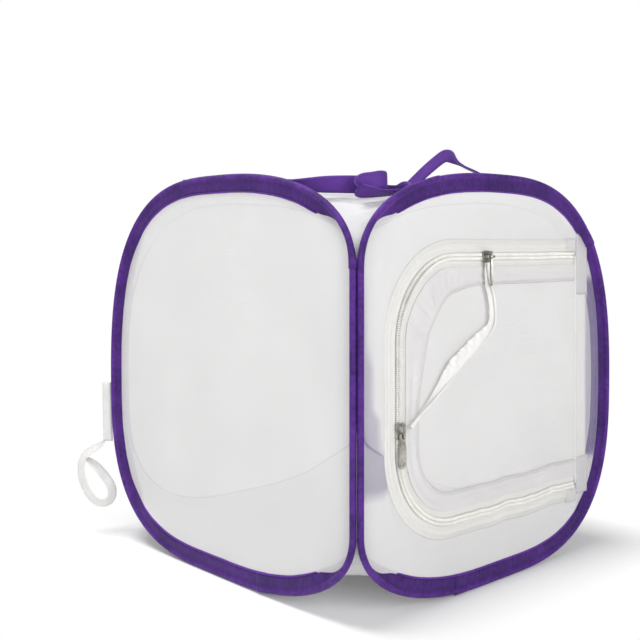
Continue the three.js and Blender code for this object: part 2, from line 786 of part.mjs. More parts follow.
const faceNames = ['front', 'right', 'back', 'left'];
const faceCorners = [
  [sewnCorner, freeCorner],
  [freeCorner, sewnCorner],
  [sewnCorner, freeCorner],
  [freeCorner, sewnCorner],
];
const upperEdges = [];
const lowerEdges = [];
faceNames.forEach((name, k) => {
  const loop = stations(...faceCorners[k]);
  const face = new THREE.Group();
  face.rotation.z = (k * Math.PI) / 2;
  face.updateMatrixWorld(true);
  habitat.add(face);
  add(face, `${name}_wire`, wireLoop(loop), steel);
  add(face, `${name}_ferrule`, ferrule(loop), steel);
  add(face, `${name}_sleeve`, binding(loop), purple);
  add(face, `${name}_net`, net(loop, k === 0 ? netOpening() : []), netWhite);
  const turned = (points) => points.map((p) => p.applyMatrix4(face.matrixWorld));
  for (const [edges, fromTop] of [[upperEdges, true], [lowerEdges, false]]) {
    edges.push({ right: turned(clothEdge(loop, fromTop, 1)), left: turned(clothEdge(loop, fromTop, -1)) });
  }
});
add(habitat, 'top_panel', clothPanel(upperEdges, true), clothWhite);
add(habitat, 'floor_panel', clothPanel(lowerEdges, false), clothWhite);

const coilInner = zipSlot;
const coilOuter = zipSlot + coilWidth;
add(habitat, 'frame_zip_tape', zipBand(zipSlot, zipTapeWidth, zipEndU, tapeFront, tapeBack), zipWhite);
add(habitat, 'frame_zip_coil', zipBand(coilInner, coilOuter, zipEndU, coilFront, coilBack), coilWhite);
const hingeTape = slab(doorHingeU, hingeTapeEndU, tapeFront, tapeBack, zipBottom, zipTop);
add(habitat, 'door_hinge_tape', hingeTape, zipWhite);
const endTabU = doorHingeU - endTabInset;
const endTabFront = tapeFront - layerGap - endTabThickness;
const endTabNear = coilOuter + runningGap;
const upperTabZ = zipTop + endTabNear;
const lowerTabZ = zipBottom - endTabNear - endTabHeight;
const endTabBack = tapeFront - layerGap;
for (const [name, z] of [['upper_end_tab', upperTabZ], ['lower_end_tab', lowerTabZ]]) {
  const patch = slab(endTabU, endTabU + endTabWidth, endTabFront, endTabBack, z, z + endTabHeight);
  add(habitat, name, patch, zipWhite);
}

const borderFrom = -doorTapeWidth - runningGap;
const borderTo = borderFrom - doorBorderWidth;
add(habitat, 'door_zip_tape', zipBand(-zipSlot, -doorTapeWidth, doorEndU, tapeFront, tapeBack), zipWhite);
add(habitat, 'door_zip_coil', zipBand(-coilInner, -coilOuter, zipEndU, coilFront, coilBack), coilWhite);
add(habitat, 'door_border', zipBand(borderFrom, borderTo, doorEndU, tapeFront, tapeBack), clothWhite);
const doorOutline = zipLine(borderTo - runningGap, doorEndU);
const doorShape = new THREE.Shape(doorOutline.map(([u, z]) => new THREE.Vector2(u, z)));
const doorNet = extrude(doorShape, netThickness, 1);
doorNet.rotateX(Math.PI / 2);
doorNet.translate(0, wireDepth + netThickness / 2 - half, 0);
add(habitat, 'door_net', doorNet, netWhite);

const upperSlider = add(habitat, 'upper_slider', slider(1), nickel);
upperSlider.position.set(upperSliderU, -half, zipTop);
upperSlider.rotation.y = Math.PI;
const lowerSlider = add(habitat, 'lower_slider', slider(-1), nickel);
lowerSlider.position.set(zipLeftU, -half, lowerSliderZ);
lowerSlider.rotation.y = -Math.PI / 2;
const upperPull = add(habitat, 'upper_pull_tab', pullTab(), nickel);
upperPull.position.set(upperSliderU, strapMiddle - half, zipTop);
upperPull.rotation.z = upperTabTurn;
const lowerPull = add(habitat, 'lower_pull_tab', pullTab(), nickel);
lowerPull.position.set(zipLeftU, windowMiddle - half, lowerSliderZ - bridgeLength / 2 + bridgeFoot / 2);
add(habitat, 'pull_ribbon', ribbon(), satinWhite);

const rightHandle = add(habitat, 'right_handle', archHandle(), strapPurple);
rightHandle.rotation.z = Math.PI / 2;
add(habitat, 'left_handle', floppedHandle(), strapPurple);
add(habitat, 'storage_tie_tab', tieTab(), satinWhite);
add(habitat, 'storage_tie_band', tieBand(), satinWhite);

// The origin is the middle of the model's box, on the surface that it stands on.
const box = new THREE.Box3().setFromObject(habitat);
habitat.position.set(-(box.min.x + box.max.x) / 2, -(box.min.y + box.max.y) / 2, -box.min.z);

export default habitat;
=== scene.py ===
import math
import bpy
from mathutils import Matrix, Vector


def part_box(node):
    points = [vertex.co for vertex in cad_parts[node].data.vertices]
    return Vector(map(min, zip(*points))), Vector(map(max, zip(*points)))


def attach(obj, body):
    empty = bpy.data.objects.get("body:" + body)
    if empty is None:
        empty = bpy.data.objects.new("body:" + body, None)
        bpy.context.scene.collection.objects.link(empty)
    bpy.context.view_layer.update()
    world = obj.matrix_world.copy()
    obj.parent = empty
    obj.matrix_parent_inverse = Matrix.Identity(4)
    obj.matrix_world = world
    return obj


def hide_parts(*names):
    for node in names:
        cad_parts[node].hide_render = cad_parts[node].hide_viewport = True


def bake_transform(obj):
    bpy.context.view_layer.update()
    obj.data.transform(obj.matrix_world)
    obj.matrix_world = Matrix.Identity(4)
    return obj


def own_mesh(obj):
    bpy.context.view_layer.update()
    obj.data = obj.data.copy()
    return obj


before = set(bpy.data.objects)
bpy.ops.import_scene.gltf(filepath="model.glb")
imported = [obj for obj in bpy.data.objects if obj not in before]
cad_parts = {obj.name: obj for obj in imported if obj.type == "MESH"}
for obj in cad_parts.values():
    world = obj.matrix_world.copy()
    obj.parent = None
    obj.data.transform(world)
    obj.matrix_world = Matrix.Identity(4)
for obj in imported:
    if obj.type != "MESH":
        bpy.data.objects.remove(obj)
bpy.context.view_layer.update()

from types import SimpleNamespace

import bpy
import numpy as np
from mathutils import Vector

# Sizes in millimetres, in the cage's own frame: its centre line is x = y = 0.
HALF, HEIGHT, BOW = 152.5, 310.0, 4.0
# The sleeve: radius of its bulge, reach of its flat tape, place of the seam in it.
SLEEVE_R, HEM, SEAM = 2.4, 12.2, 10.25
WIRE_D = SLEEVE_R
INSET = WIRE_D + (SLEEVE_R + 0.15) * math.sqrt(2)
LOOP_HALF, LOOP_H = HALF - INSET, HEIGHT - 2 * SLEEVE_R
# A loop's side at a sewn and a free corner: bow, ends of the upright part and run of the lower bend as
# shares of the loop's size, and the power of each bend.
SEWN = dict(bow=0.0, low=0.2, high=0.77, run=0.88, bottom=2.2, top=2.4)
FREE = dict(bow=BOW, low=0.43, high=0.43, run=0.88, bottom=2.9, top=3.0)
CORNERS = [(SEWN, FREE), (FREE, SEWN), (SEWN, FREE), (FREE, SEWN)]
FACES = ["front", "right", "back", "left"]
# The zip's left, top and bottom lines, and its bends' radius and centres.
ZIP_L, ZIP_T, ZIP_B, ZIP_R = 41.5 - HALF, 0.797 * HEIGHT, 0.18 * HEIGHT, 58.0
BEND_U, BEND_LOW, BEND_HIGH = ZIP_L + ZIP_R, ZIP_B + ZIP_R, ZIP_T - ZIP_R
# The sliders' places on it: the upper one's u and the lower one's z.
UP_U, LOW_Z = BEND_U + 38, BEND_LOW + 15
# The door's hinge seam, its pivot and the depth of its tape's front.
HINGE = 106.57
HINGE_PIN, HINGE_D = HINGE - 0.15, 1.9
ZIP_END = HINGE - 4
# The middle of a face (u, z), and the direction out of the front face.
MIDDLE = np.array([0.0, HEIGHT / 2])
OUT = np.array([0.0, -1.0, 0.0])
# Pitch, length, width and height of each kind of stitch.
STITCH = dict(
    sleeve=(2.9, 2.1, 0.4, 0.24), zip=(2.7, 1.9, 0.4, 0.22), border=(3.0, 2.1, 0.35, 0.2),
    box=(2.2, 1.6, 0.35, 0.2), hinge=(2.6, 1.9, 0.4, 0.2), tie=(2.6, 1.8, 0.3, 0.15),
    right_handle=(3.0, 2.1, 0.4, 0.25), left_handle=(3.0, 2.1, 0.4, 0.22),
)

low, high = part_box("floor_panel")
ORIGIN = np.array([(low.x + high.x) / 2, (low.y + high.y) / 2, 0.0])


def row(points):
    """Millimetres in the cage's frame to metres in the row frame."""
    return np.asarray(points, float) / 1000 + ORIGIN


def turned(k, points):
    """Points of face k's own frame (u, depth - half, z) in the cage's frame."""
    c, s = [(1, 0), (0, 1), (-1, 0), (0, -1)][k % 4]
    p = np.asarray(points, float)
    return np.stack([p[..., 0] * c - p[..., 1] * s, p[..., 0] * s + p[..., 1] * c, p[..., 2]], -1)


def ease(x):
    t = np.clip(x, 0, 1)
    return t * t * (3 - 2 * t)


def unit(v):
    return v / np.maximum(np.linalg.norm(v, axis=-1, keepdims=True), 1e-9)


def closed(points):
    return np.concatenate([points, points[:1]])


def run_of(points):
    """The distance along a line at each of its points."""
    return np.concatenate([[0], np.cumsum(np.linalg.norm(np.diff(points, axis=0), axis=1))])


def wobble(x, seed, scale):
    """A smooth curve through seeded noise, from -1 to 1, of features about scale wide."""
    g = np.random.default_rng(seed)
    x = np.asarray(x, float) / scale
    out = np.zeros_like(x)
    for f, a in ((1.0, 0.5), (1.9, 0.3), (3.7, 0.2)):
        swing = np.sin(f * x * math.pi + g.uniform(0, 6.28))
        out += a * swing * np.cos(f * x * 1.37 + g.uniform(0, 6.28))
    return out


# Mesh helpers

def added(name, data):
    """A new object in the scene."""
    o = bpy.data.objects.new(name, data)
    bpy.context.scene.collection.objects.link(o)
    return o


def make(name, verts, faces, mat, body, uv=None, stands_for=()):
    """A smooth mesh object that rides on its body, if it has one."""
    data = bpy.data.meshes.new(name)
    data.from_pydata([tuple(v) for v in row(verts)], [], [tuple(int(i) for i in f) for f in faces])
    if uv is not None:
        layer = data.uv_layers.new(name="UVMap")
        layer.data.foreach_set("uv", np.asarray(uv, np.float32).ravel())
    data.polygons.foreach_set("use_smooth", [True] * len(data.polygons))
    data.update()
    o = added(name, data)
    o.data.materials.append(mat)
    if stands_for:
        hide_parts(*stands_for)
    if body:
        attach(o, body)
    return o


def grid_run(p):
    """The mean distance from a grid's first row to each row and back."""
    d = np.linalg.norm(np.roll(p, -1, 0) - p, axis=-1).mean(1)
    return np.concatenate([[0], np.cumsum(d)])


def lattice(p, closed_rows=False, closed_cols=False, caps=False, sv=None):
    """Vertices, faces and UVs in millimetres of a grid p[row, column]."""
    rows, cols = p.shape[:2]
    su = grid_run(p)
    if sv is None:
        sv = grid_run(p.swapaxes(0, 1))
    faces, uv = [], []
    for i in range(rows if closed_rows else rows - 1):
        for j in range(cols if closed_cols else cols - 1):
            corners = (i, j), (i + 1, j), (i + 1, j + 1), (i, j + 1)
            faces.append([(x % rows) * cols + (y % cols) for x, y in corners])
            uv += [(su[x], sv[y]) for x, y in corners]
    if caps:
        for i in (0, rows - 1):
            ring = [i * cols + j for j in range(cols)]
            faces.append(ring[::-1] if i else ring)
            uv += [(su[i], 0)] * cols
    return p.reshape(-1, 3), faces, uv


def corner_uv(across, along, faces):
    """UVs from two values at each point."""
    return [(across[i], along[i]) for f in faces for i in f]


def outward(v, faces, uv):
    """The same faces, turned out of the closed body that they bound."""
    total = 0.0
    for f in faces:
        for i in range(1, len(f) - 1):
            total += np.dot(v[f[0]], np.cross(v[f[i]], v[f[i + 1]]))
    if total >= 0:
        return faces, uv
    flipped, turned_uv, at = [], [], 0
    for f in faces:
        flipped.append(f[::-1])
        turned_uv += uv[at:at + len(f)][::-1]
        at += len(f)
    return flipped, turned_uv


def body_grid(name, p, mat, body, stands_for=(), sv=None, closed_rows=False):
    """A closed body through rings p[ring, point], with flat ends unless it closes on itself."""
    v, f, uv = lattice(p, closed_rows, True, not closed_rows, sv)
    f, uv = outward(v, f, uv)
    return make(name, v, f, mat, body, uv, stands_for)


def resample(p, step, *fields):
    """Points and fields of a line at equal steps."""
    d = run_of(p)
    count = max(int(d[-1] / step), 2)
    s = np.linspace(0, d[-1], count + 1)
    at = lambda a: np.stack([np.interp(s, d, a[:, i]) for i in range(a.shape[1])], 1)
    return [at(p), *[at(f) for f in fields]]


# One stitch: its points as shares of its half length, half width and height, and its faces.
STITCH_POINTS = [(-1, 0, -0.2), (-0.7, 1, 0), (-0.7, -1, 0), (-0.7, 0, 1)]
STITCH_POINTS += [(0.7, 1, 0), (0.7, -1, 0), (0.7, 0, 1), (1, 0, -0.2)]
STITCH_FACES = [(0, 1, 3), (0, 3, 2), (1, 4, 6, 3), (3, 6, 5, 2), (4, 7, 6), (6, 7, 5), (1, 2, 5, 4)]
STITCH_FACES += [(0, 2, 1), (4, 5, 7)]


def stitches(name, line, normal, kind, mat, body):
    """A running stitch: one rounded thread lozenge per pitch along the line, proud of the cloth."""
    pitch, long, wide, tall = STITCH[kind]
    p, n = resample(line, pitch, np.broadcast_to(normal, line.shape))
    mid = (p[1:] + p[:-1]) / 2
    t = unit(p[1:] - p[:-1])
    n = unit((n[1:] + n[:-1]) / 2)
    b = np.cross(t, n)
    shape = [mid + t * x * long / 2 + b * y * wide / 2 + n * z * tall for x, y, z in STITCH_POINTS]
    faces = [[i * len(shape) + a for a in f] for i in range(len(mid)) for f in STITCH_FACES]
    return make(name, np.stack(shape, 1).reshape(-1, 3), faces, mat, body, None)


# Materials

def shade(colour, share):
    return tuple(c * share for c in colour)


class Mat:
    def __init__(self, name, **values):
        self.m = bpy.data.materials.new(name)
        self.m.use_nodes = True
        self.t = self.m.node_tree
        self.b = self.t.nodes["Principled BSDF"]
        for key, value in values.items():
            self.b.inputs[key.replace("_", " ")].default_value = value

    def node(self, kind, *ins, **props):
        n = self.t.nodes.new("ShaderNode" + kind)
        for key, value in props.items():
            setattr(n, key, value)
        for key, value in ins:
            if isinstance(value, bpy.types.NodeSocket):
                self.t.links.new(value, n.inputs[key])
            else:
                n.inputs[key].default_value = value
        return n

    def math(self, op, *args):
        return self.node("Math", *enumerate(args), operation=op).outputs[0]

    def clamp(self, x, top=1.0):
        return self.math("MINIMUM", self.math("MAXIMUM", x, 0.0), top)

    def total(self, *parts):
        """The sum of values, each with its own weight."""
        result = None
        for value, weight in parts:
            part = self.math("MULTIPLY", value, weight)
            result = part if result is None else self.math("ADD", result, part)
        return result

    def uv(self):
        s = self.node("SeparateXYZ", (0, self.node("UVMap", uv_map="UVMap").outputs[0]))
        return s.outputs[0], s.outputs[1]

    def noise(self, scale, detail=3.0, stretch=None, coords=None):
        if coords is None:
            coords = self.node("TexCoord").outputs["Object"]
        if stretch:
            coords = self.node("Mapping", ("Vector", coords), ("Scale", stretch)).outputs[0]
        n = self.node("TexNoise", ("Vector", coords), ("Scale", scale), ("Detail", detail))
        return n.outputs[0]

    def ramp(self, fac, *stops):
        """Colours between two stops, each a place and a colour."""
        n = self.node("ValToRGB", (0, fac))
        for element, (at, colour) in zip(n.color_ramp.elements, stops):
            element.position = at
            element.color = (*colour, 1)
        return n.outputs[0]

    def mix(self, fac, a, b):
            return self.node("Mix", (0, fac), (6, a), (7, (*b, 1)), data_type="RGBA").outputs[2]

    def wave(self, x, pitch):
        return self.math("SINE", self.math("MULTIPLY", x, 2 * math.pi / pitch))

    def weave(self, x, y, pitch):
        """A plain weave's height, from 0 to 1."""
        both = self.math("MULTIPLY", self.wave(x, 2 * pitch), self.wave(y, 2 * pitch))
        return self.math("MULTIPLY_ADD", both, 0.5, 0.5)

    def bump(self, height, strength, distance):
        ins = ("Height", height), ("Strength", strength), ("Distance", distance)
        return self.node("Bump", *ins).outputs[0]

    def set(self, **links):
        for key, value in links.items():
            self.t.links.new(value, self.b.inputs[key.replace("_", " ")])
        return self.m

    def mixed(self, fac, first, second):
        return self.node("MixShader", (0, fac), (1, first), (2, second.outputs[0])).outputs[0]

    def show(self, shader):
        self.t.links.new(shader, self.t.nodes["Material Output"].inputs[0])
        return self.m

    def thin(self, colour, glow, see=None, normal=None):
        """Light passes: glow is the share that scatters through, see the share that shows behind."""
        ins = [("Color", colour)]
        if normal is not None:
            ins.append(("Normal", normal))
        final = self.mixed(glow, self.b.outputs[0], self.node("BsdfTranslucent", *ins))
        if see is not None:
            final = self.mixed(see, final, self.node("BsdfTransparent"))
        return self.show(final)


# The seam's half width, and the puckers' reach from it in millimetres and their height in threads.
SEAM_WIDE, PUCKER_REACH, PUCKER = 0.6, 6.0, 9.0


def sleeve_tones(m, colour, dark, light, y, seam):
    """The sleeve's colour with painted shade on its tape and in its sunk seam, a painted highlight on its
    lip, and its puckers' height.
    """
    off = m.math("ABSOLUTE", m.math("SUBTRACT", y, seam))
    # The sunk seam's groove: it sinks the bump, and the darker colour there is painted shade.
    groove_and_shade = m.clamp(m.math("SUBTRACT", 1.0, m.math("DIVIDE", off, SEAM_WIDE)))
    # Painted shade: the flat tape is darker than the bulge, which catches the light.
    tape = m.clamp(m.math("DIVIDE", m.math("SUBTRACT", y, 4.2), 2.6))
    colour = m.mix(m.math("MULTIPLY", tape, 0.42), colour, shade(dark, 0.85))
    colour = m.mix(m.math("MULTIPLY", groove_and_shade, 0.6), colour, shade(dark, 0.4))
    # Painted highlight: the lip beyond the seam is lighter.
    lip = m.clamp(m.math("SUBTRACT", y, seam + 0.45), 0.5)
    colour = m.mix(lip, colour, shade(light, 1.3))
    folds = m.noise(1.0, 3.0, (0.32, 0.05, 1.0), m.node("UVMap", uv_map="UVMap").outputs[0])
    near = m.clamp(m.math("SUBTRACT", 1.0, m.math("DIVIDE", off, PUCKER_REACH)))
    wrinkle = m.math("MULTIPLY", folds, m.math("MULTIPLY", near, PUCKER))
    return colour, m.math("SUBTRACT", wrinkle, m.math("MULTIPLY", groove_and_shade, 2.0))


def fabric(name, dark, light, pitch, rough, sheen, seam=None):
    """Woven cloth: threads, uneven dye, and for a sleeve its painted shade and highlight and the puckers
    beside its seam.
    """
    m = Mat(name, Roughness=rough, Sheen_Weight=sheen, Sheen_Roughness=0.4, Specular_IOR_Level=0.25)
    x, y = m.uv()
    height = m.weave(x, y, pitch)
    fac = m.total((m.noise(35.0, 4.0), 0.45), (height, 0.15), (m.noise(300.0, 4.0), 0.45))
    colour = m.ramp(fac, (0.36, dark), (0.74, light))
    if seam:
        colour, puckers = sleeve_tones(m, colour, dark, light, y, seam)
        height = m.math("ADD", height, puckers)
    return m.set(Base_Color=colour, Normal=m.bump(height, 0.6, 0.00018))


# The net's tone, and the tone and pitch of the purple tape that shows through it.
NET_TONE, LAVENDER, RUNGS = (0.86, 0.853, 0.848), (0.34, 0.285, 0.49), 2.1


def net_material(name, pitch, open_share, clear=0.0):
    """Fine knitted net: threads round small holes. The attribute clear opens the holes more."""
    m = Mat(name, Roughness=0.75, Specular_IOR_Level=0.2)
    x, y = m.uv()
    a = m.math("ABSOLUTE", m.wave(m.math("ADD", x, y), 2 * pitch))
    b = m.math("ABSOLUTE", m.wave(m.math("SUBTRACT", x, y), 2 * pitch))
    hole = m.math("MULTIPLY", a, b)
    share = open_share
    colour = m.ramp(m.noise(14.0, 3.0), (0.3, shade(NET_TONE, 0.94)), (0.75, NET_TONE))
    if clear:
        open_at = m.node("Attribute", attribute_name="clear").outputs["Fac"]
        share = m.math("MULTIPLY_ADD", open_at, clear, open_share)
        rungs = m.math("MULTIPLY", m.wave(x, RUNGS), m.wave(y, RUNGS))
        ladder = m.math("MULTIPLY_ADD", rungs, 0.3, 0.7)
        colour = m.mix(m.math("MULTIPLY", open_at, ladder), colour, LAVENDER)
    edge = m.math("SUBTRACT", hole, m.math("SUBTRACT", 1.0, share))
    normal = m.bump(m.math("SUBTRACT", 1.0, hole), 0.35, 0.0002)
    m.set(Base_Color=colour, Normal=normal)
    return m.thin(colour, 0.35, m.clamp(m.math("MULTIPLY", edge, 6.0)), normal)


def thin_cloth(name, tone, pitch, see, rough=0.7, wrinkle=0.4):
    """Light white cloth that lets some light through; see is how much shows behind it."""
    m = Mat(name, Roughness=rough, Specular_IOR_Level=0.3, Sheen_Weight=0.15)
    thread = m.weave(*m.uv(), pitch)
    fac = m.total((m.noise(25.0, 4.0), 0.6), (thread, 0.3))
    colour = m.ramp(fac, (0.2, shade(tone, 0.9)), (0.7, tone))
    height = m.total((thread, 0.15), (m.noise(60.0, 3.0, (1.0, 1.0, 0.35)), wrinkle))
    normal = m.bump(height, 0.5, 0.0012)
    m.set(Base_Color=colour, Normal=normal)
    return m.thin(colour, 0.3, see, normal)


def ribbed(name, dark, light, along, across, rough, sheen, see=None):
    """Webbing or zip tape: ribs across its length and rows of thread along it."""
    m = Mat(name, Roughness=rough, Sheen_Weight=sheen, Specular_IOR_Level=0.3)
    x, y = m.uv()
    rib = m.math("ABSOLUTE", m.wave(x, 2 * along))
    rows = m.math("ABSOLUTE", m.wave(m.math("ADD", y, m.math("MULTIPLY", x, 0.5)), 2 * across))
    height = m.total((rib, 0.6), (rows, 0.4))
    fac = m.total((height, 0.5), (m.noise(60.0, 4.0), 0.5))
    colour = m.ramp(fac, (0.2, dark), (0.8, light))
    m.set(Base_Color=colour, Normal=m.bump(height, 0.55, 0.00022))
    return m.m if see is None else m.thin(colour, 0.35, see)


def satin(name, tone):
    """Smooth ribbon with fine threads along it."""
    m = Mat(name, Roughness=0.34, Specular_IOR_Level=0.6, Anisotropic=0.6, Sheen_Weight=0.2)
    fine = m.wave(m.uv()[1], 0.35)
    folds = m.noise(90.0, 3.0)
    colour = m.ramp(folds, (0.3, shade(tone, 0.9)), (0.7, tone))
    height = m.math("ADD", m.math("MULTIPLY", fine, 0.1), folds)
    m.set(Base_Color=colour, Normal=m.bump(height, 0.35, 0.0006))
    return m.thin(colour, 0.25)


def metal(name, tone, rough, scratch):
    """Worn metal with fine scratches."""
    m = Mat(name, Metallic=1.0)
    fine = m.noise(700.0, 2.0, (1.0, 1.0, 0.08))
    colour = m.ramp(m.noise(220.0, 5.0), (0.35, shade(tone, 0.55)), (0.65, tone))
    roughness = m.math("MULTIPLY_ADD", fine, scratch, rough)
    return m.set(Base_Color=colour, Roughness=roughness, Normal=m.bump(fine, 0.15, 0.00008))


def plastic(name, tone, rough):
    m = Mat(name, Roughness=rough, Specular_IOR_Level=0.45)
    colour = m.ramp(m.noise(120.0, 3.0), (0.3, shade(tone, 0.88)), (0.7, tone))
    return m.set(Base_Color=colour, Normal=m.bump(m.noise(1500.0), 0.1, 0.00005))


THREAD = fabric("purple_thread", (0.022, 0.005, 0.07), (0.05, 0.014, 0.14), 0.3, 0.5, 0.1)
WEBBING = ribbed("purple_webbing", (0.045, 0.010, 0.135), (0.120, 0.034, 0.310), 0.9, 1.1, 0.65, 0.10)
NET = net_material("white_net", 0.85, 0.30)
FRONT_NET = net_material("white_net_front", 0.85, 0.30, 0.45)
DOOR_NET = net_material("white_net_door", 0.85, 0.27)
CLOTH = thin_cloth("white_cloth", (0.83, 0.83, 0.835), 0.5, 0.02)
ORGANZA = thin_cloth("white_border", (0.80, 0.785, 0.785), 0.45, 0.08, 0.6, 1.6)
GAUZE = thin_cloth("reinforcing_gauze", (0.78, 0.77, 0.79), 0.8, 0.42, 0.7, 1.0)
TAPE = ribbed("zip_tape", (0.80, 0.79, 0.765), (0.90, 0.895, 0.875), 0.7, 0.8, 0.7, 0.1, 0.10)
COIL = plastic("zip_coil", (0.82, 0.81, 0.765), 0.4)
WHITE_THREAD = fabric("white_thread", (0.62, 0.61, 0.58), (0.85, 0.84, 0.81), 0.3, 0.5, 0.1)
SATIN = satin("white_satin", (0.88, 0.875, 0.855))
TIE_SATIN = satin("tie_satin", (0.80, 0.795, 0.78))
NICKEL = metal("nickel", (0.56, 0.54, 0.49), 0.22, 0.25)
STEEL = metal("spring_steel", (0.42, 0.42, 0.43), 0.3, 0.2)


# The four loops

def quarter(run, rise, power, n=40):
    """One bend: how far it has run and risen at each of its points."""
    a = np.linspace(0, math.pi / 2, n + 1)
    return run * np.sin(a) ** (2 / power), rise * (1 - np.cos(a) ** (2 / power))


def side(c, sign):
    """Half of a loop's line, from the middle of its foot to the middle of its top."""
    from_z, to_z = c["low"] * LOOP_H, c["high"] * LOOP_H
    run = c["run"] * LOOP_HALF
    low_u, low_z = quarter(run, from_z, c["bottom"])
    top_u, top_z = quarter(LOOP_HALF, LOOP_H - to_z, c["top"])
    upright = to_z > from_z
    gap = np.linspace(from_z, to_z, 20)[1:-1] if upright else np.zeros(0)
    skip = 0 if upright else 1
    foot = np.linspace(0, LOOP_HALF - run, 4)[:-1]
    wall = np.full(len(gap), LOOP_HALF)
    u = np.concatenate([foot, LOOP_HALF - run + low_u, wall, top_u[::-1][skip:]])
    z = np.concatenate([0 * foot, low_z, gap, (LOOP_H - top_z[::-1])[skip:]])
    bend = c["bow"] * (1 - (2 * z / LOOP_H - 1) ** 2) * ease(u / LOOP_HALF)
    return np.stack([sign * (u + bend), WIRE_D - bend, SLEEVE_R + z, u / LOOP_HALF], 1)


def loop(k):
    """Centre, flat and thick directions, inward direction, twist and arc length of loop k."""
    minus, plus = CORNERS[k]
    rows = np.concatenate([side(plus, 1), side(minus, -1)[::-1][1:-1]])
    p = np.stack([rows[:, 0], rows[:, 1] - HALF, rows[:, 2]], 1)
    ahead = unit((np.roll(p, -1, 0) - p)[:, [0, 2]])
    behind = unit((p - np.roll(p, 1, 0))[:, [0, 2]])
    t = unit(ahead + behind)
    twist = math.pi / 4 * ease((rows[:, 3] - 0.72) / 0.25)
    inward = np.stack([-t[:, 1], 0 * twist, t[:, 0]], 1)
    depth = np.array([0.0, 1.0, 0.0])
    flat = inward * np.cos(twist)[:, None] + depth * np.sin(twist)[:, None]
    thick = depth * np.cos(twist)[:, None] - inward * np.sin(twist)[:, None]
    directions = dict(flat=flat, thick=thick, inward=inward, twist=twist)
    return SimpleNamespace(p=p, s=run_of(p), share=rows[:, 3], **directions)


def sleeve_section():
    """Half of the sleeve's outline: bulge, flat tape, seam and lip."""
    r = SLEEVE_R - 0.02
    bulge = [(r * math.cos(a), r * math.sin(a)) for a in np.radians(np.linspace(180, 52, 10))]
    tape = [(2.2, 1.3), (3.4, 1.08), (5.4, 1.04), (7.4, 1.02), (9.0, 0.96), (9.8, 0.84)]
    lip = [(SEAM, 0.4), (10.7, 0.9), (11.5, 1.0), (HEM, 0.5)]
    return np.array(bulge + tape + lip)


HALF_SECTION = sleeve_section()
SECTION_RUN = run_of(HALF_SECTION)
SEAM_AT = float(SECTION_RUN[HALF_SECTION[:, 0] == SEAM][0])
PURPLE = fabric("purple_polyester", (0.019, 0.002, 0.072), (0.112, 0.024, 0.292), 0.45, 0.6, 0.08, SEAM_AT)
# The distance from the bulge's crest at each point of a ring, and back at its first point.
RING_RUN = list(SECTION_RUN) + list(SECTION_RUN[::-1][1:-1]) + [0.0]


def sleeve_rings(L, seed, grow=0.0, pucker=1.0):
    """A sleeve's rings along a loop; grow thickens them, pucker scales their folds."""
    ring = np.concatenate([HALF_SECTION, (HALF_SECTION * [1, -1])[::-1][1:-1]])
    w = np.array(RING_RUN[:-1])
    s = L.s[:, None]
    fold = wobble(s + 0 * w, seed, 7.0) * 0.5 + wobble(s + w * 0.8, seed + 1, 17.0) * 0.5
    fine = wobble(s + w * 0.3, seed + 2, 3.3)
    soft = np.exp(-((w - SEAM_AT) / 4.0) ** 2)[None] * pucker
    flat = (np.abs(ring[:, 1]) > 0.3) & (ring[:, 0] > 2)
    x = ring[:, 0][None] - 0.3 * fold * soft
    y = ring[:, 1][None] * (1 + (0.32 * fold + 0.16 * fine) * soft * flat) + np.sign(ring[:, 1]) * grow
    x = np.where(ring[:, 0] < 0, x - grow * 0.8, x)
    return L.p[:, None] + L.flat[:, None] * x[..., None] + L.thick[:, None] * y[..., None]


# A join: half its length, and the stations along it.
JOIN_HALF, JOIN_STEPS = 9, 16


def loop_part(L, at):
    """The stations of a loop round the arc length at."""
    total = L.s[-1] + np.linalg.norm(L.p[0] - L.p[-1])
    s = np.append(L.s, total)
    q = np.linspace(at - JOIN_HALF, at + JOIN_HALF, JOIN_STEPS) % total
    pick = lambda a: np.stack([np.interp(q, s, np.append(a[:, i], a[0, i])) for i in range(3)], 1)
    along = np.linspace(0, 2 * JOIN_HALF, JOIN_STEPS)
    return SimpleNamespace(p=pick(L.p), flat=unit(pick(L.flat)), thick=unit(pick(L.thick)), s=along)


LOOPS = [loop(k) for k in range(4)]
# Where a sleeve's tape ends overlap, as places (u, z) on its face.
JOINS = {
    "front": [(-42.9, 3.4), (-76, 301.9), (131.5, 266.7)],
    "right": [(-60, 4)],
    "back": [(-50, 4), (70, 303)],
    "left": [(54.7, 5.6), (151, 251.2)],
}


def sleeve_join(k, n, u, z):
    """The overlap of a tape's ends, thickest at one end."""
    L = LOOPS[k]
    at = L.s[np.argmin((L.p[:, 0] - u) ** 2 + (L.p[:, 2] - z) ** 2)]
    grow = 0.55 - 0.75 * np.linspace(0, 1, JOIN_STEPS)[:, None] ** 1.5
    wrap = turned(k, sleeve_rings(loop_part(L, at), 40 + k + n, grow, 0.5))
    name = f"sleeve_join_{FACES[k]}_{n + 1}"
    body_grid(name, wrap, PURPLE, FACES[k], (), RING_RUN)


def sewn_tape(k):
    """The tape between the two sleeves of a sewn corner."""
    L = LOOPS[k]
    keep = (L.p[:, 0] < 0) & (L.share > 0.998)
    p, flat, thick = L.p[keep], L.flat[keep], L.thick[keep]
    section = [(-1.75, 2.47), (4.0, 2.47), (4.0, 2.63), (-1.75, 2.63)]
    rings = np.stack([p + flat * a + thick * b for a, b in section], 1)
    body_grid(f"corner_tape_{FACES[k]}", turned(k, rings), PURPLE, FACES[k])


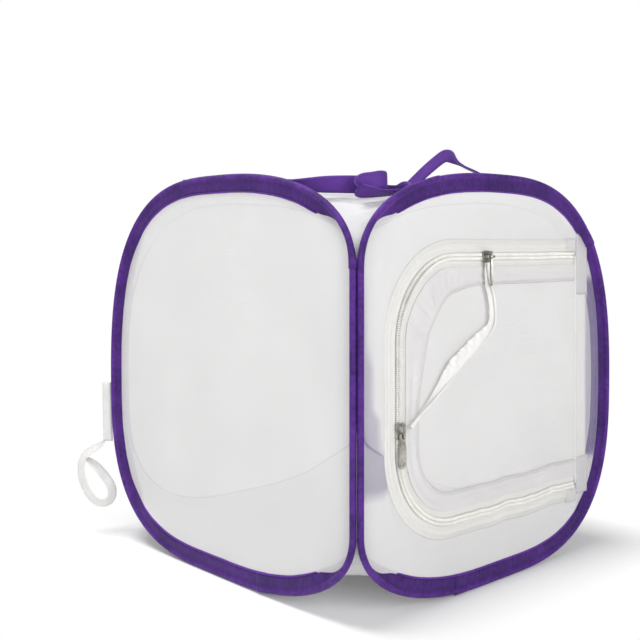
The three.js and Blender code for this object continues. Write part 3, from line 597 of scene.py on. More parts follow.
for k, face in enumerate(FACES):
    L = LOOPS[k]
    rings = turned(k, sleeve_rings(L, 10 * k))
    body_grid(f"sleeve_{face}", rings, PURPLE, face, [f"{face}_sleeve"], RING_RUN, True)
    for n, place in enumerate(JOINS[face]):
        sleeve_join(k, n, *place)
    for mark, sign in (("out", -1), ("in", 1)):
        proud = L.thick * sign
        line = turned(k, closed(L.p + L.flat * SEAM + proud * 0.4))
        name = f"sleeve_stitch_{face}_{mark}"
        stitches(name, line, turned(k, closed(proud)), "sleeve", THREAD, face)
    for part in ("wire", "ferrule"):
        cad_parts[f"{face}_{part}"].data.materials[0] = STEEL
for k in (0, 2):
    sewn_tape(k)


# The zip

def zip_line(end, step=3.0):
    """Places, outward directions and arc length along the zip, with its ends at u = end."""
    parts = []

    def straight(a, b, n):
        count = max(int(math.dist(a, b) / step), 1)
        for i in range(count):
            t = i / count
            parts.append((a[0] + (b[0] - a[0]) * t, a[1] + (b[1] - a[1]) * t, *n))

    def arc(cz, a0):
        for i in range(28):
            a = a0 - math.pi / 2 * i / 28
            c, s = math.cos(a), math.sin(a)
            parts.append((BEND_U + ZIP_R * c, cz + ZIP_R * s, c, s))

    straight((end, ZIP_B), (BEND_U, ZIP_B), (0, -1))
    arc(BEND_LOW, -math.pi / 2)
    straight((ZIP_L, BEND_LOW), (ZIP_L, BEND_HIGH), (-1, 0))
    arc(BEND_HIGH, math.pi)
    straight((BEND_U, ZIP_T), (end, ZIP_T), (0, 1))
    parts.append((end, ZIP_T, 0, 1))
    a = np.array(parts)
    # The straight runs drift a little, but not at their ends.
    u, low_run = a[:, 0], a[:, 1] < HEIGHT / 2
    start = np.where(low_run, BEND_U, UP_U + 14)
    away = ease((u - start) / 30) * ease((HINGE - 2 - u) / 20)
    a[:, 1] += away * np.where(low_run, 1.7 * wobble(u, 17, 42.0), 0.3 * wobble(u, 18, 50.0))
    return a[:, :2], a[:, 2:], run_of(a[:, :2])


def zip_points(base, normal, offset, depth):
    """Face points at an offset and a depth, which may differ along the line."""
    p = base + normal * np.asarray(offset)[..., None]
    d = np.broadcast_to(np.asarray(depth, float), p.shape[:1])
    return np.stack([p[:, 0], d - HALF, p[:, 1]], 1)


def open_part(base, low_z=LOW_Z + 8, up_u=UP_U - 8):
    """1 in the middle of the open zip, 0 at and beyond both of its ends."""
    line, _, s = zip_line(HINGE)
    near = lambda u, z: s[np.argmin((line[:, 0] - u) ** 2 + (line[:, 1] - z) ** 2)]
    a, b = near(ZIP_L, low_z), near(up_u, ZIP_T)
    here = np.array([near(*p) for p in base])
    t = np.clip((here - a) / (b - a), 0, 1)
    return np.sin(math.pi * t) ** 1.5


def door_lift(base):
    """The open edge stands out only in the bend, which no slider reaches."""
    return -2.0 * open_part(base, BEND_HIGH + 2, BEND_U - 3)


def frame_wave(s, base):
    """The depth that the frame's half of the zip adds."""
    return 0.18 * wobble(s, 3, 38.0)


def door_wave(s, base):
    return door_lift(base) + 0.05 * wobble(s, 5, 30.0)


def zip_band(half, end, section, body, wave):
    """One half of the zip's tape, through a section of (offset, depth) points."""
    base, normal, s = zip_line(end)
    rings = [zip_points(base, normal, offset, depth + wave(s, base)) for offset, depth in section]
    body_grid(f"zip_tape_{half}", np.stack(rings, 1), TAPE, body, [f"{half}_zip_tape"])


FRAME_TAPE = [
    (0.8, 2.0), (2.7, 2.0), (3.2, 1.5), (3.9, 1.05), (4.7, 1.3), (5.6, 1.85), (6.6, 2.0), (7.6, 1.6),
    (8.3, 1.1), (9.1, 1.4), (10.0, 1.9), (11.4, 2.1), (12.9, 2.45), (12.9, 2.65), (0.8, 2.75),
]
DOOR_TAPE = [
    (-0.8, 2.0), (-2.7, 2.0), (-3.3, 1.5), (-4.2, 1.2), (-5.2, 1.75), (-6.6, 1.6), (-8.0, 2.1), (-8.0, 2.7),
    (-0.8, 2.75),
]
zip_band("frame", ZIP_END, FRAME_TAPE, "front", frame_wave)
zip_band("door", HINGE - 1.4, DOOR_TAPE, "door", door_wave)

# One turn of the coil: pitch, depth, half its width and height, and its four rings of eight points, each
# an offset from the zip's line and a share of that size.
TURN_PITCH, TURN_D, TURN_WIDE, TURN_TALL = 1.45, 0.85, 0.52, 0.88
TURN_RINGS = [(0.12, 0.7), (0.5, 1.0), (2.1, 1.0), (2.55, 0.7)]
AROUND = [(j, (j + 1) % 8) for j in range(8)]
TURN_FACES = [[m + j, m + k, m + 8 + k, m + 8 + j] for m in (0, 8, 16) for j, k in AROUND]
TURN_FACES += [list(range(7, -1, -1)), list(range(24, 32))]


def coil(half, sign, body):
    """The moulded turns of one side of the zip, each a rounded bar across the tape's edge."""
    base, normal, _ = zip_line(ZIP_END, 1.0)
    base, normal = resample(base, TURN_PITCH, normal)
    normal = unit(normal)
    lift = np.zeros(len(base))
    if sign < 0:
        base, normal = (base[1:] + base[:-1]) / 2, unit(normal[1:] + normal[:-1])
        lift = door_lift(base)
    t = np.stack([normal[:, 1], -normal[:, 0]], 1)
    angles = np.linspace(0, 2 * math.pi, 8, endpoint=False)
    ring = [(math.cos(a) * TURN_WIDE, math.sin(a) * TURN_TALL) for a in angles]
    verts, faces = [], []
    for i in range(len(base)):
        faces += [[len(verts) + j for j in (f if sign > 0 else f[::-1])] for f in TURN_FACES]
        for offset, size in TURN_RINGS:
            for a, d in ring:
                x, z = base[i] + normal[i] * sign * offset + t[i] * a * size
                verts.append((x, TURN_D + d * size - HALF + lift[i], z))
    make(f"zip_coil_{half}", verts, faces, COIL, body, None, [f"{half}_zip_coil"])


coil("frame", 1, "front")
coil("door", -1, "door")


def zip_stitch(name, offset, depth, body, end, wave):
    base, normal, s = zip_line(end)
    line = zip_points(base, normal, offset, depth + wave(s, base))
    stitches(name, line, OUT, "zip", WHITE_THREAD, body)


zip_stitch("zip_stitch_frame_near", 5.4, 1.74, "front", ZIP_END, frame_wave)
zip_stitch("zip_stitch_frame_far", 10.2, 1.78, "front", ZIP_END, frame_wave)
zip_stitch("zip_stitch_door", -5.6, 1.72, "door", HINGE - 1, door_wave)


# Nets

def polygon_reach(points, angles):
    """How far a closed outline reaches from the face's middle in each direction."""
    d = points - MIDDLE
    return np.interp(angles, np.arctan2(d[:, 1], d[:, 0]), np.linalg.norm(d, axis=1), period=2 * math.pi)


def dense(points, step=1.0):
    """A closed outline at equal steps."""
    return resample(closed(points), step)[0][:-1]


def opening_outline():
    """The edge of the door's opening, under the frame's zip tape and the hinge's tape."""
    base, normal, _ = zip_line(ZIP_END + 0.3)
    seam = HINGE + 2.5
    return dense(np.concatenate([base + normal * 9.0, [[seam, ZIP_T], [seam, ZIP_B]]]))


# Where the net starts on the tape, from the wire's centre, in a free corner and in a sewn one.
NET_NEAR = (7.6, 4.2)
NET_STEPS = 16


def net_rows(L, sewn_sign, hole, sag, seed):
    """Rows from the net's edge in the sleeve to its middle, or to the edge of a hole."""
    p, flat, thick = L.p, L.flat, L.thick
    turn = (L.twist / (math.pi / 4))[:, None]
    last = np.where(p[:, :1] * sewn_sign > 0, NET_NEAR[1], NET_NEAR[0])
    start = HEM - 0.2 - (HEM - 0.2 - last) * ease(turn)
    near = p + flat * start - thick * 1.2 * np.minimum(turn * 6, 1)
    edge = p + flat * (HEM + 1.0) + L.inward * (1.0 + 11.0 * turn)
    edge[:, 1] = WIRE_D - HALF
    rows = [p + flat * (start - 1.6), near]
    rows += [near * (1 - t) + edge * t for t in (0.3, 0.65)] + [edge]
    plan = edge[:, [0, 2]] - MIDDLE
    angle = np.arctan2(plan[:, 1], plan[:, 0])
    reach = np.linalg.norm(plan, axis=1)
    inner = reach * 0.02 if hole is None else polygon_reach(hole, angle)
    for t in np.linspace(0, 1, NET_STEPS + 1)[1:]:
        r = reach + (inner - reach) * t
        x, z = MIDDLE[0] + r * np.cos(angle), MIDDLE[1] + r * np.sin(angle)
        loose = math.sin(math.pi * min(t, 0.5)) ** 0.7 if hole is None else math.sin(math.pi * t)
        d = sag * loose * (wobble(x, seed, 55.0) + wobble(z, seed + 1, 70.0)) * 0.6
        if hole is not None:
            d = d + 0.62 * ease((t - 0.5) / 0.3)
        rows.append(np.stack([x, WIRE_D - HALF + d, z], 1))
    return np.stack(rows, 1)


def net_sheet(body, k, rows, mat, filled):
    """A net through rows of a face's own frame; filled closes its middle."""
    v, f, _ = lattice(rows, True)
    if filled:
        cols = rows.shape[1]
        f.append([i * cols + cols - 1 for i in range(len(rows))])
    uv = corner_uv(v[:, 0], v[:, 2], f)
    return make(f"net_{body}", turned(k, v), f, mat, body, uv, [f"{body}_net"])


# The edge (z, u) of the band where purple tape shows through the front net at the near corner.
LADDER = [(89, -116.6), (125, -126.4), (152, -133.2), (186, -137.0), (219, -138.6), (259, -139.6)]


def clear_share(u, z):
    """How far the front net is cleared: right of the hinge, and in that band."""
    clear = ease((u - 122) / 3) * ease((z - 72) / 8) * ease((232 - z) / 8)
    edge = np.interp(z, *np.transpose(LADDER))
    return clear + 0.8 * ease((edge - u) / 2) * ease((z - 84) / 6) * ease((250 - z) / 60)


rows = net_rows(LOOPS[0], -1, opening_outline(), 0.5, 70)
net = net_sheet("front", 0, rows, FRONT_NET, False)
clear = clear_share(rows[..., 0].ravel(), rows[..., 2].ravel())
net.data.attributes.new("clear", "FLOAT", "POINT").data.foreach_set("value", clear.astype(np.float32))
for k in (1, 2, 3):
    net_sheet(FACES[k], k, net_rows(LOOPS[k], -1 if k == 2 else 1, None, 0.9, 70 + k), NET, True)


def door_net():
    base, normal, _ = zip_line(HINGE - 0.3)
    outline = dense(base + normal * -18.0, 2.5)
    rings = []
    for t in np.linspace(1, 0.02, 18):
        u, z = (MIDDLE + (outline - MIDDLE) * t).T
        d = WIRE_D + 0.8 * math.sin(math.pi * t) * (wobble(u, 81, 60.0) + wobble(z, 82, 45.0))
        rings.append(np.stack([u, d - HALF, z], 1))
    net_sheet("door", 0, np.stack(rings, 1), DOOR_NET, True)


door_net()

# The share of the border's width at which its hem lies.
HEM_AT = 0.97


def border_point(base, normal, s, t):
    """The border at share t of its width, from the zip's tape at 0 to the net at 1."""
    loose = open_part(base)
    wide = 13.0 + 14.0 * loose
    gather = 0.8 * wobble(s, 91, 6.5) + 0.6 * wobble(s + 14 * t, 92, 15.0)
    along = np.sin(2 * math.pi * (1.6 * t + 0.12 * wobble(s, 93, 40.0)))
    hump = math.sin(math.pi * min(t + 0.06, 1))
    d = 1.2 + (0.35 + 1.0 * loose) * gather * hump - 0.55 * (1 - loose) * along * hump
    d = d + door_lift(base) * (1 - t) ** 1.5
    return hinge_clear(zip_points(base, normal, -7.4 - wide * t, d))


def hinge_clear(p):
    """Points kept near the hinge's axis, so the open door stays clear of the hinge's tape."""
    room = 0.4 * np.maximum(HINGE_PIN - p[..., 0], 0)
    p[..., 1] = np.maximum(p[..., 1], HINGE_D - room - HALF)
    return p


def door_border():
    """The gathered band between the zip's tape and the door's net, with its hem and stitches."""
    base, normal, s = zip_line(HINGE - 0.3, 1.4)
    p = np.stack([border_point(base, normal, s, t) for t in np.linspace(0, 1, 18)], 1)
    v, f, uv = lattice(p)
    make("border_door", v, f, ORGANZA, "door", uv, ["door_border"])
    at = border_point(base, normal, s, HEM_AT)
    n3 = np.stack([normal[:, 0], 0 * s, normal[:, 1]], 1)
    section = [(-1.2, 0.1), (-0.8, -0.25), (0.7, -0.28), (1.2, 0.05), (0.7, 0.25), (-0.8, 0.25)]
    rings = hinge_clear(np.stack([at + n3 * o - OUT * d for o, d in section], 1))
    body_grid("border_hem", rings, ORGANZA, "door")
    line = border_point(*zip_line(HINGE - 5), HEM_AT) + OUT * 0.5
    stitches("border_stitch", line, OUT, "border", WHITE_THREAD, "door")


door_border()


# The door's hinge seam, and the patches over the zip's ends

def patch(name, us, zs, depths, mat, nodes, counts, seed):
    """A rectangle of cloth sewn on the front face, with a soft edge and small wrinkles."""
    z, u = np.meshgrid(np.linspace(*zs, counts[1]), np.linspace(*us, counts[0]), indexing="ij")
    fold = 0.1 * (wobble(u * 1.3 + z, seed, 9.0) + wobble(z - u, seed + 1, 6.0))
    rim = np.minimum(np.minimum(u - us[0], us[1] - u), np.minimum(z - zs[0], zs[1] - z)) < 1e-6
    front = np.stack([u, depths[0] + np.where(rim, 0.15, fold * 0.8) - HALF, z], -1)
    back = np.stack([u, 0 * u + depths[1] - HALF, z], -1)
    v, f, _ = lattice(np.concatenate([front, back[:, ::-1]], 1), False, True, True)
    f, uv = outward(v, f, corner_uv(v[:, 0], v[:, 2], f))
    make(name, v, f, mat, "front", uv, nodes)


def box_stitch(name, us, zs, depth, cross=False):
    """A stitched rectangle on the front face; cross adds its diagonals."""
    (u0, u1), (z0, z1) = us, zs
    pts = [(u0, z0), (u1, z0), (u1, z1), (u0, z1), (u0, z0)]
    if cross:
        pts += [(u1, z1), (u0, z1), (u1, z0)]
    line = resample(np.array([(u, depth - HALF, z) for u, z in pts], float), 0.8)[0]
    stitches(name, line, OUT, "box", WHITE_THREAD, "front")


us, zs = (HINGE, HINGE + 3.5), (ZIP_B, ZIP_T)
patch("hinge_tape", us, zs, (HINGE_D, 2.8), TAPE, ["door_hinge_tape"], (5, 60), 11)
line = np.array([(HINGE + 1.7, 1.86 - HALF, z) for z in np.arange(ZIP_B + 2, ZIP_T - 1, 2.0)])
stitches("hinge_stitch", line, OUT, "hinge", WHITE_THREAD, "front")

# The gauze patches beside the hinge, and the tabs over the zip's ends.
ANCHOR_U, ANCHOR_D = (HINGE + 2.2, 125), 1.75
TAB_U, TAB_WIDE, TAB_HIGH, TAB_D = HINGE - 13, 14, 11, 1.2
for name, z0, z1, seed in (("upper", 214, 272, 61), ("lower", 47, 78, 62)):
    patch(f"zip_anchor_{name}", ANCHOR_U, (z0, z1), (ANCHOR_D, 2.2), GAUZE, (), (12, 16), seed)
    box_stitch(f"zip_anchor_stitch_{name}", (HINGE + 4, 123), (z0 + 2, z1 - 2), ANCHOR_D)
for name, z in (("upper", ZIP_T + 2.9), ("lower", ZIP_B - 2.9 - TAB_HIGH)):
    us, zs = (TAB_U, TAB_U + TAB_WIDE), (z, z + TAB_HIGH)
    patch(f"end_tab_{name}", us, zs, (TAB_D, 1.75), ORGANZA, [f"{name}_end_tab"], (9, 8), 13)
    us, zs = (us[0] + 1.5, us[1] - 1.5), (zs[0] + 1.5, zs[1] - 1.5)
    box_stitch(f"end_tab_stitch_{name}", us, zs, TAB_D, True)


# Cloth top and floor: each in four pieces, one per loop, meeting on the diagonals

def cloth_edge(L, top, sign, corner):
    """Half of the edge that a sleeve holds, from its middle to a corner."""
    sewn = corner["bow"] == 0
    keep = (L.p[:, 2] > HEIGHT / 2) == top
    keep &= (L.p[:, 0] * sign > -1e-6) & (L.share < (0.9999 if sewn else 0.967))
    idx = np.where(keep)[0]
    idx = idx[np.argsort(L.share[idx])]
    close = ease((L.share[idx] - 0.88) / 0.12)[:, None] * sewn
    reach = (HEM - 0.8) * (1 - close) + 2.6 * close
    return L.p[idx] + L.flat[idx] * reach + L.thick[idx] * (1.9 - 0.7 * close)


def cloth_piece(k, top):
    """A quarter of the top or the floor, from loop k halfway to its two neighbours."""
    halves = []
    for sign, corner in zip((-1, 1), CORNERS[k]):
        mine = cloth_edge(LOOPS[k], top, sign, corner)
        theirs = cloth_edge(LOOPS[(k + sign) % 4], top, -sign, corner)
        middle = (mine + turned(-k, turned(k + sign, theirs))) / 2
        fan = np.linspace(0, 1, 12)[:-1, None]
        centre = np.array([0.0, 0.0, mine[0, 2]])
        inner = centre + (middle[0] - centre) * fan
        near = np.concatenate([np.repeat(mine[:1], len(inner), 0), mine])
        far = np.concatenate([inner, middle])
        t = np.linspace(0, 1, 16)[None, :, None]
        grid = near[:, None] * (1 - t) + far[:, None] * t
        halves.append(grid[::-1] if sign < 0 else grid)
    return np.concatenate([halves[0][:-1], halves[1]])


# Half the cloth's width, the top's sag, and each fold's |x| + |y|.
CLOTH_HALF, TOP_SAG, FOLDS = 148, 2.2, (186, 203, 231)


def crumple(p, top):
    """Sag of the middle and the drawn folds of the gussets."""
    x, y = np.abs(p[..., 0]), np.abs(p[..., 1])
    c, away = x + y, np.abs(x - y) / 30
    way = 1 if top else -1
    inside = np.clip((CLOTH_HALF - np.maximum(x, y)) / 20, 0, 1)
    sag = -TOP_SAG * np.sqrt(np.clip(1 - c / CLOTH_HALF, 0, 1)) if top else 0.0
    drop = np.clip((c - 175) / 60, 0, 1)
    pleat = -1.6 * drop * np.exp(-(away * 1.6) ** 2) * way
    rib = 0.9 * drop * np.sin(c * 0.45 + 2 * np.sin(away * 3)) * np.exp(-(away * 1.1) ** 2)
    for fold in FOLDS:
        rib = rib - 1.3 * np.exp(-((c - fold + 1.5 * np.sin(away * 4)) / 2.0) ** 2) * way
    p[..., 2] += (sag + pleat + rib) * inside
    return p


for top, label in ((True, "top"), (False, "floor")):
    for k, face in enumerate(FACES):
        v, f, _ = lattice(crumple(turned(k, cloth_piece(k, top)), top))
        uv = corner_uv(v[:, 0], v[:, 1] + 0.7 * v[:, 2], f)
        stands = [f"{label}_panel"] if k == 0 else []
        piece = make(f"cloth_{label}_{face}", v, f, CLOTH, face, uv, stands)
        out, anchor = turned(k, OUT), row(turned(k, [0.0, 3.0 - HALF, 0.0]))
        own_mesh(piece)


# Sliders and pull tabs keep their CAD shapes

for name in ("upper_slider", "lower_slider", "upper_pull_tab", "lower_pull_tab"):
    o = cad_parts[name]
    o.data.materials[0] = NICKEL
    bevel = o.modifiers.new("soft_edge", "BEVEL")
    bevel.width = 0.00016
    bevel.segments = 2
    bevel.limit_method = "ANGLE"


# Straps

def spline(q, d, v):
    """A smooth curve through the values v at d, natural at its ends."""
    n = len(d)
    h = np.diff(d)
    a = np.zeros((n, n))
    r = np.zeros(n)
    a[0, 0] = a[-1, -1] = 1
    for i in range(1, n - 1):
        a[i, i - 1], a[i, i], a[i, i + 1] = h[i - 1], 2 * (h[i - 1] + h[i]), h[i]
        r[i] = 6 * ((v[i + 1] - v[i]) / h[i] - (v[i] - v[i - 1]) / h[i - 1])
    m = np.linalg.solve(a, r)
    i = np.clip(np.searchsorted(d, q) - 1, 0, n - 2)
    x, y = d[i + 1] - q, q - d[i]
    bent = (m[i] * x ** 3 + m[i + 1] * y ** 3) / (6 * h[i])
    return bent + (v[i] / h[i] - m[i] * h[i] / 6) * x + (v[i + 1] / h[i] - m[i + 1] * h[i] / 6) * y


def smooth_line(points, n):
    """Places, directions and arc length at n stations of a smooth line through points."""
    d = run_of(points)
    q = np.linspace(0, d[-1], n)
    p = np.stack([spline(q, d, points[:, i]) for i in range(3)], 1)
    return p, unit(np.gradient(p, axis=0)), q


def strap(points, across, width, thick, n, ripple, seed, crown=0.12):
    """Rings of a flat strap along a line; across gives its width direction at each share."""
    p, t, q = smooth_line(points, n)
    w = np.array([across(x, tt) for x, tt in zip(q / q[-1], t)])
    w = unit(w - t * np.sum(w * t, 1)[:, None])
    nrm = np.cross(t, w)
    ring = []
    for a in np.linspace(-1, 1, 9):
        bulge = thick / 2 * (1 - 0.55 * max(abs(a) - 0.8, 0) / 0.2) + crown * (1 - a * a)
        ring.append((a * width / 2, bulge))
    ring += [(a, -b) for a, b in ring[::-1]]
    rings = [p + w * a + nrm * (b + ripple * wobble(q + a, seed, 12.0))[:, None] for a, b in ring]
    return np.stack(rings, 1), p, w, nrm


# The side from which the photograph shows the right face's near leg edge on, in that face's frame.
VIEW_SIDE = np.array([0.68, -0.73, 0.0])
# The depth of a handle's middle, just behind its sleeve's bulge.
STRAP_D = WIRE_D + SLEEVE_R / math.cos(math.pi / 8) + 0.3 + 0.8
# The standing handle's line on the right face (u, z).
STANDING = [
    (90, 304.5), (74, 313.5), (52, 328.5), (32, 340.5), (21, 344.3), (12.5, 341), (3, 334.5), (-12, 327.5),
    (-28.7, 319), (-46, 305),
]


def right_handle():
    """The standing handle: two straight legs and a pinched crest, the near leg turned edge on."""
    pts = np.array([(u, STRAP_D - HALF, z) for u, z in STANDING], float)

    def across(x, t):
        on_face = np.array([-t[2], 0, t[0]])
        edge_on = unit(VIEW_SIDE - t * np.dot(VIEW_SIDE, t))
        edge_on = edge_on if np.dot(edge_on, on_face) > 0 else -edge_on
        part = float(ease((x - 0.5) * 7)) * float(ease((1 - x) * 9))
        return on_face * (1 - part) + edge_on * part

    rings, p, w, nrm = strap(pts, across, 12.6, 1.3, 110, 0.15, 21)
    body_grid("handle_right", turned(1, rings), WEBBING, "right", ["right_handle"])
    for i, edge in enumerate((-1, 1)):
        line = turned(1, p + w * edge * 4.9 - nrm * 0.72)
        name = f"handle_right_stitch_{i + 1}"
        stitches(name, line, turned(1, -nrm), "right_handle", THREAD, "right")


right_handle()

# The flopped handle's places on the top, and how far its width leans from upright at each.
FLOP = [
    (-146.1, 55.0, 302.6, 0.0), (-122.0, 18.0, 303.0, 0.5), (-104.0, -30.0, 302.0, 0.8),
    (-92.0, -76.0, 299.5, 0.9), (-84.0, -112.0, 297.0, 1.2), (-82.0, -131.0, 295.5, 1.4),
    (-93.7, -138.0, 293.6, 1.4), (-106.8, -130.5, 292.4, 1.2), (-114.5, -124.5, 293.4, 0.85),
    (-119.0, -120.0, 295.8, 0.5), (-117.5, -120.6, 298.6, 0.25), (-111.0, -125.0, 300.9, 0.05),
    (-103.0, -128.6, 302.2, -0.15), (-96.8, -126.6, 301.4, -0.2), (-101.5, -118.3, 299.8, 0.0),
    (-114.5, -107.6, 299.2, 0.15), (-129.9, -97.2, 299.0, 0.45), (-140.0, -88.5, 298.6, 0.8),
    (-146.1, -80.0, 298.4, 1.0),
]


def left_handle():
    """The flopped handle, in a loop on the top."""
    route = np.array(FLOP)
    d = run_of(route[:, :3])
    viewer = np.array([-0.67, -0.74, 0.0])

    def across(x, t):
        lean = float(np.interp(x * d[-1], d, route[:, 3]))
        return np.array([0, 0, math.cos(lean)]) + viewer * math.sin(lean)

    rings, p, w, nrm = strap(route[:, :3], across, 12.8, 1.1, 260, 0.12, 23)
    pieces = [body_grid("handle_left", rings, WEBBING, "left", ["left_handle"])]
    for i, (edge, face_sign) in enumerate(((-1, 1), (1, 1), (-1, -1), (1, -1))):
        proud = nrm * face_sign
        name, line = f"handle_left_stitch_{i + 1}", p + w * edge * 4.7 + proud * 0.66
        pieces.append(stitches(name, line, proud, "left_handle", THREAD, "left"))
    anchor = tuple(row([STRAP_D - HALF, 0, 0]))
    for o in pieces:
        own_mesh(o)


left_handle()

# The ribbon's folded edge from the upper slider to the lower one, on the front face (u, z).
RIBBON_ROUTE = [
    (-18.0, 242.5), (-16.4, 232.5), (-12.2, 221.9), (-8.6, 208.2), (-9.7, 195.5), (-18.2, 186.0),
    (-29.7, 178.3), (-45.3, 168.6), (-63.3, 156.7), (-79.6, 146.2), (-96.0, 136.4), (-104.5, 130.6),
]
# The place of its bend in that list, where its two halves meet.
RIBBON_BEND = 5
RIBBON_WIDE, RIBBON_D = 12.0, -2.0
# Its open share, at places from 0 at the upper slider to 1 at the lower one.
SPREAD_AT = [0, 0.1, 0.3, 0.42, 0.64, 0.76, 0.86, 1]
SPREAD = [0.1, 0.42, 0.5, 0.85, 0.95, 0.5, 0.12, 0.0]
OPEN_STEPS, ROLL_STEPS = 12, 22


def ribbon_section(s, share):
    """Points (width, rise) across the ribbon: its open share waves, the rest is rolled."""
    points = []
    for j in range(OPEN_STEPS):
        w = RIBBON_WIDE * share * (1 - j / OPEN_STEPS)
        swell = 0.6 * math.sin(0.55 * s + 0.5 * w) + 0.45 * math.sin(1.3 * s - 0.4 * w)
        points.append((w, share * w / RIBBON_WIDE * swell))
    rolled = RIBBON_WIDE * (1 - share)
    step = rolled / ROLL_STEPS
    radius = 0.42 + 1.5 * rolled / RIBBON_WIDE
    angle, w, rise = 0.0, 0.0, 0.0
    for j in range(ROLL_STEPS):
        points.append((w, rise))
        angle += step / (radius * (1 - 0.62 * j / ROLL_STEPS))
        w -= step * math.cos(angle)
        rise += step * math.sin(angle)
    return points


def ribbon():
    """The satin ribbon, open in its middle and rolled at both ends."""
    pts = np.array([(u, RIBBON_D - HALF, z) for u, z in RIBBON_ROUTE], float)
    p, t, q = smooth_line(pts, 190)
    flat = unit(np.stack([t[:, 2], 0 * q, -t[:, 0]], 1))
    spread = np.interp(q / q[-1], SPREAD_AT, SPREAD)
    rows = []
    for i, share in enumerate(spread):
        rows.append([p[i] + flat[i] * w + OUT * rise for w, rise in ribbon_section(q[i], share)])
    g = np.array(rows)
    g[..., 1] = np.clip(g[..., 1], -HALF - 5.5, -HALF - 0.3)
    cut = int(np.searchsorted(q, run_of(pts)[RIBBON_BEND]))
    middle = tuple(row(p[cut]))
    parts = (("upper", g[:cut + 1], p[0], ()), ("lower", g[cut:], p[-1], ["pull_ribbon"]))
    for name, part, end, stands in parts:
        v, f, uv = lattice(part)
        piece = make(f"ribbon_{name}", v, f, SATIN, None, uv, stands)
        tuple(row(end))
        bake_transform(piece)


ribbon()

# Storage tie at the far left corner, in the corner's diagonal plane
# The directions out of it and across that plane, and where the sleeves' outer side lies.
TIE_OUT = np.array([-math.sqrt(0.5), math.sqrt(0.5), 0.0])
TIE_FACING = np.array([TIE_OUT[1], -TIE_OUT[0], 0.0])
TIE_START = 0.3 - INSET * math.sqrt(0.5) + SLEEVE_R - WIRE_D * math.sqrt(0.5)
# The tab: half its width and thickness, and how much thinner its edges are.
TAB_HALF, TAB_THICK, TAB_THIN = 4.0, 0.4, 0.12
# The tie's loop: distance out from the corner, and height.
TIE_ROUTE = [
    (3.3, 82), (10, 77), (20, 71), (25.5, 62), (26, 51), (21, 36), (11.3, 27), (2.5, 29), (-0.8, 38),
    (4, 49), (13, 60), (21, 66),
]


def diagonal(t, z):
    """Places at a distance t out from the bowed corner, and at a height z."""
    bow = np.maximum(BOW * (1 - (2 * (z - SLEEVE_R) / LOOP_H - 1) ** 2), 0)
    return np.stack([-(HALF + bow), HALF + bow, z], -1) + TIE_OUT * t[..., None]


def tie():
    z = np.linspace(134, 82, 30)
    p = diagonal(np.full(len(z), TIE_START + TAB_HALF), z)
    ring = [(a * TAB_HALF, TAB_THICK - TAB_THIN * abs(a) ** 4) for a in np.linspace(-1, 1, 7)]
    ring += [(a, -b) for a, b in ring[::-1]]
    rings = np.stack([p + TIE_OUT * a + TIE_FACING * (b + 0.25 * math.sin(a)) for a, b in ring], 1)
    body_grid("tie_tab", rings, TIE_SATIN, "left", ["storage_tie_tab"])

    def across(x, t):
        lean = 1.25 * math.sin(math.pi * x) ** 0.4
        return TIE_FACING * math.cos(lean) + unit(np.cross(TIE_FACING, t)) * math.sin(lean)

    line = diagonal(*np.array(TIE_ROUTE, float).T)
    rings, p, w, nrm = strap(line, across, 7.6, 0.4, 90, 0.1, 31, 0.02)
    body_grid("tie_band", rings, TIE_SATIN, "left", ["storage_tie_band"])
    line = (p - nrm * 0.22 + w * 2.8)[3:-3]
    stitches("tie_stitch", line, -nrm[3:-3], "tie", WHITE_THREAD, "left")


tie()


# Floor, light and camera

# The floor's half width and its height, in millimetres.
FLOOR_HALF, FLOOR_Z = 30000, -0.2
# Half the cage's footprint, where the plain white starts beyond it, and over what length, in metres.
FOOTPRINT, WHITE_FROM, WHITE_OVER = (0.15, 0.15, 0.0), 0.006, 0.06


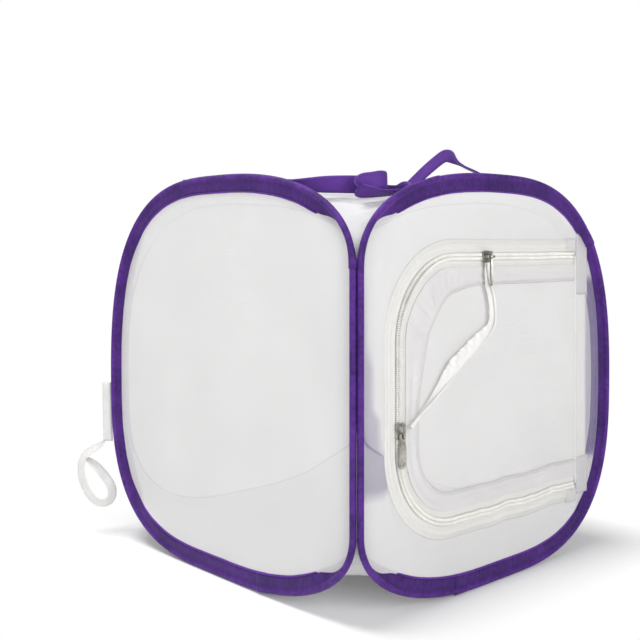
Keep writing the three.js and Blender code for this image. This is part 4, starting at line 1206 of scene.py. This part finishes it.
def white_floor():
    """A floor that keeps the shadow; away from the cage, the camera sees it as plain white."""
    m = Mat("floor", Roughness=0.9, Specular_IOR_Level=0.1)
    m.set(Base_Color=m.ramp(m.noise(3.0, 2.0), (0.3, (0.84, 0.84, 0.84)), (0.7, (0.86, 0.86, 0.86))))
    place = m.node("TexCoord").outputs["Object"]
    beyond = m.node("VectorMath", (0, place), operation="ABSOLUTE").outputs[0]
    for step, limit in (("SUBTRACT", FOOTPRINT), ("MAXIMUM", (0.0, 0.0, 0.0))):
        beyond = m.node("VectorMath", (0, beyond), (1, limit), operation=step).outputs[0]
    away = m.node("VectorMath", (0, beyond), operation="LENGTH").outputs["Value"]
    far = m.clamp(m.math("DIVIDE", m.math("SUBTRACT", away, WHITE_FROM), WHITE_OVER))
    far = m.math("MULTIPLY", far, m.node("LightPath").outputs["Is Camera Ray"])
    glow = m.node("Emission", ("Color", (1, 1, 1, 1)), ("Strength", 1.0))
    m.show(m.mixed(far, m.b.outputs[0], glow))
    corners = [(x * FLOOR_HALF, y * FLOOR_HALF, FLOOR_Z) for x, y in ((-1, -1), (1, -1), (1, 1), (-1, 1))]
    make("floor", corners, [(0, 1, 2, 3)], m.m, None)


def white_world():
    """A soft light from all sides, which the camera sees as plain white."""
    world = bpy.data.worlds.new("studio")
    bpy.context.scene.world = world
    world.use_nodes = True
    t = world.node_tree
    back, seen = t.nodes["Background"], t.nodes.new("ShaderNodeBackground")
    for node, strength in ((back, 0.45), (seen, 1.0)):
        node.inputs["Color"].default_value = (1, 1, 1, 1)
        node.inputs["Strength"].default_value = strength
    path, mix = t.nodes.new("ShaderNodeLightPath"), t.nodes.new("ShaderNodeMixShader")
    t.links.new(path.outputs["Is Camera Ray"], mix.inputs[0])
    t.links.new(back.outputs[0], mix.inputs[1])
    t.links.new(seen.outputs[0], mix.inputs[2])
    t.links.new(mix.outputs[0], t.nodes["World Output"].inputs[0])


def area(name, place, size, power):
    """A round lamp that points at the cage's middle."""
    light = bpy.data.lights.new(name, "AREA")
    light.shape = "DISK"
    light.size = size
    light.energy = power
    o = added(name, light)
    o.location = place
    o.rotation_euler = (Vector((0, 0, 0.15)) - Vector(place)).to_track_quat("-Z", "Y").to_euler()


# The camera's place in the cage's frame, and its heading in degrees from the x axis.
CAMERA_AT, CAMERA_HEADING = (-600.9, -603.4, 256.4), 47.48


def camera():
    cam = bpy.data.cameras.new("camera")
    o = added("camera", cam)
    o.location = Vector(row(CAMERA_AT))
    o.rotation_euler = (math.pi / 2, 0, math.radians(CAMERA_HEADING) - math.pi / 2)
    cam.lens, cam.sensor_width = 54.56, 36
    cam.shift_x, cam.shift_y = 0.0041, -0.1186
    cam.clip_start, cam.clip_end = 0.01, 100
    bpy.context.scene.camera = o
    bpy.context.scene.view_settings.view_transform = "Standard"
    bpy.context.scene.view_settings.look = "None"


white_floor()
white_world()
area("key", (-0.46, 0.32, 1.55), 0.7, 16.5)
area("fill", (-0.45, -1.7, 0.75), 1.2, 20.5)
area("side", (-1.7, -0.2, 0.6), 1.2, 8)
camera()
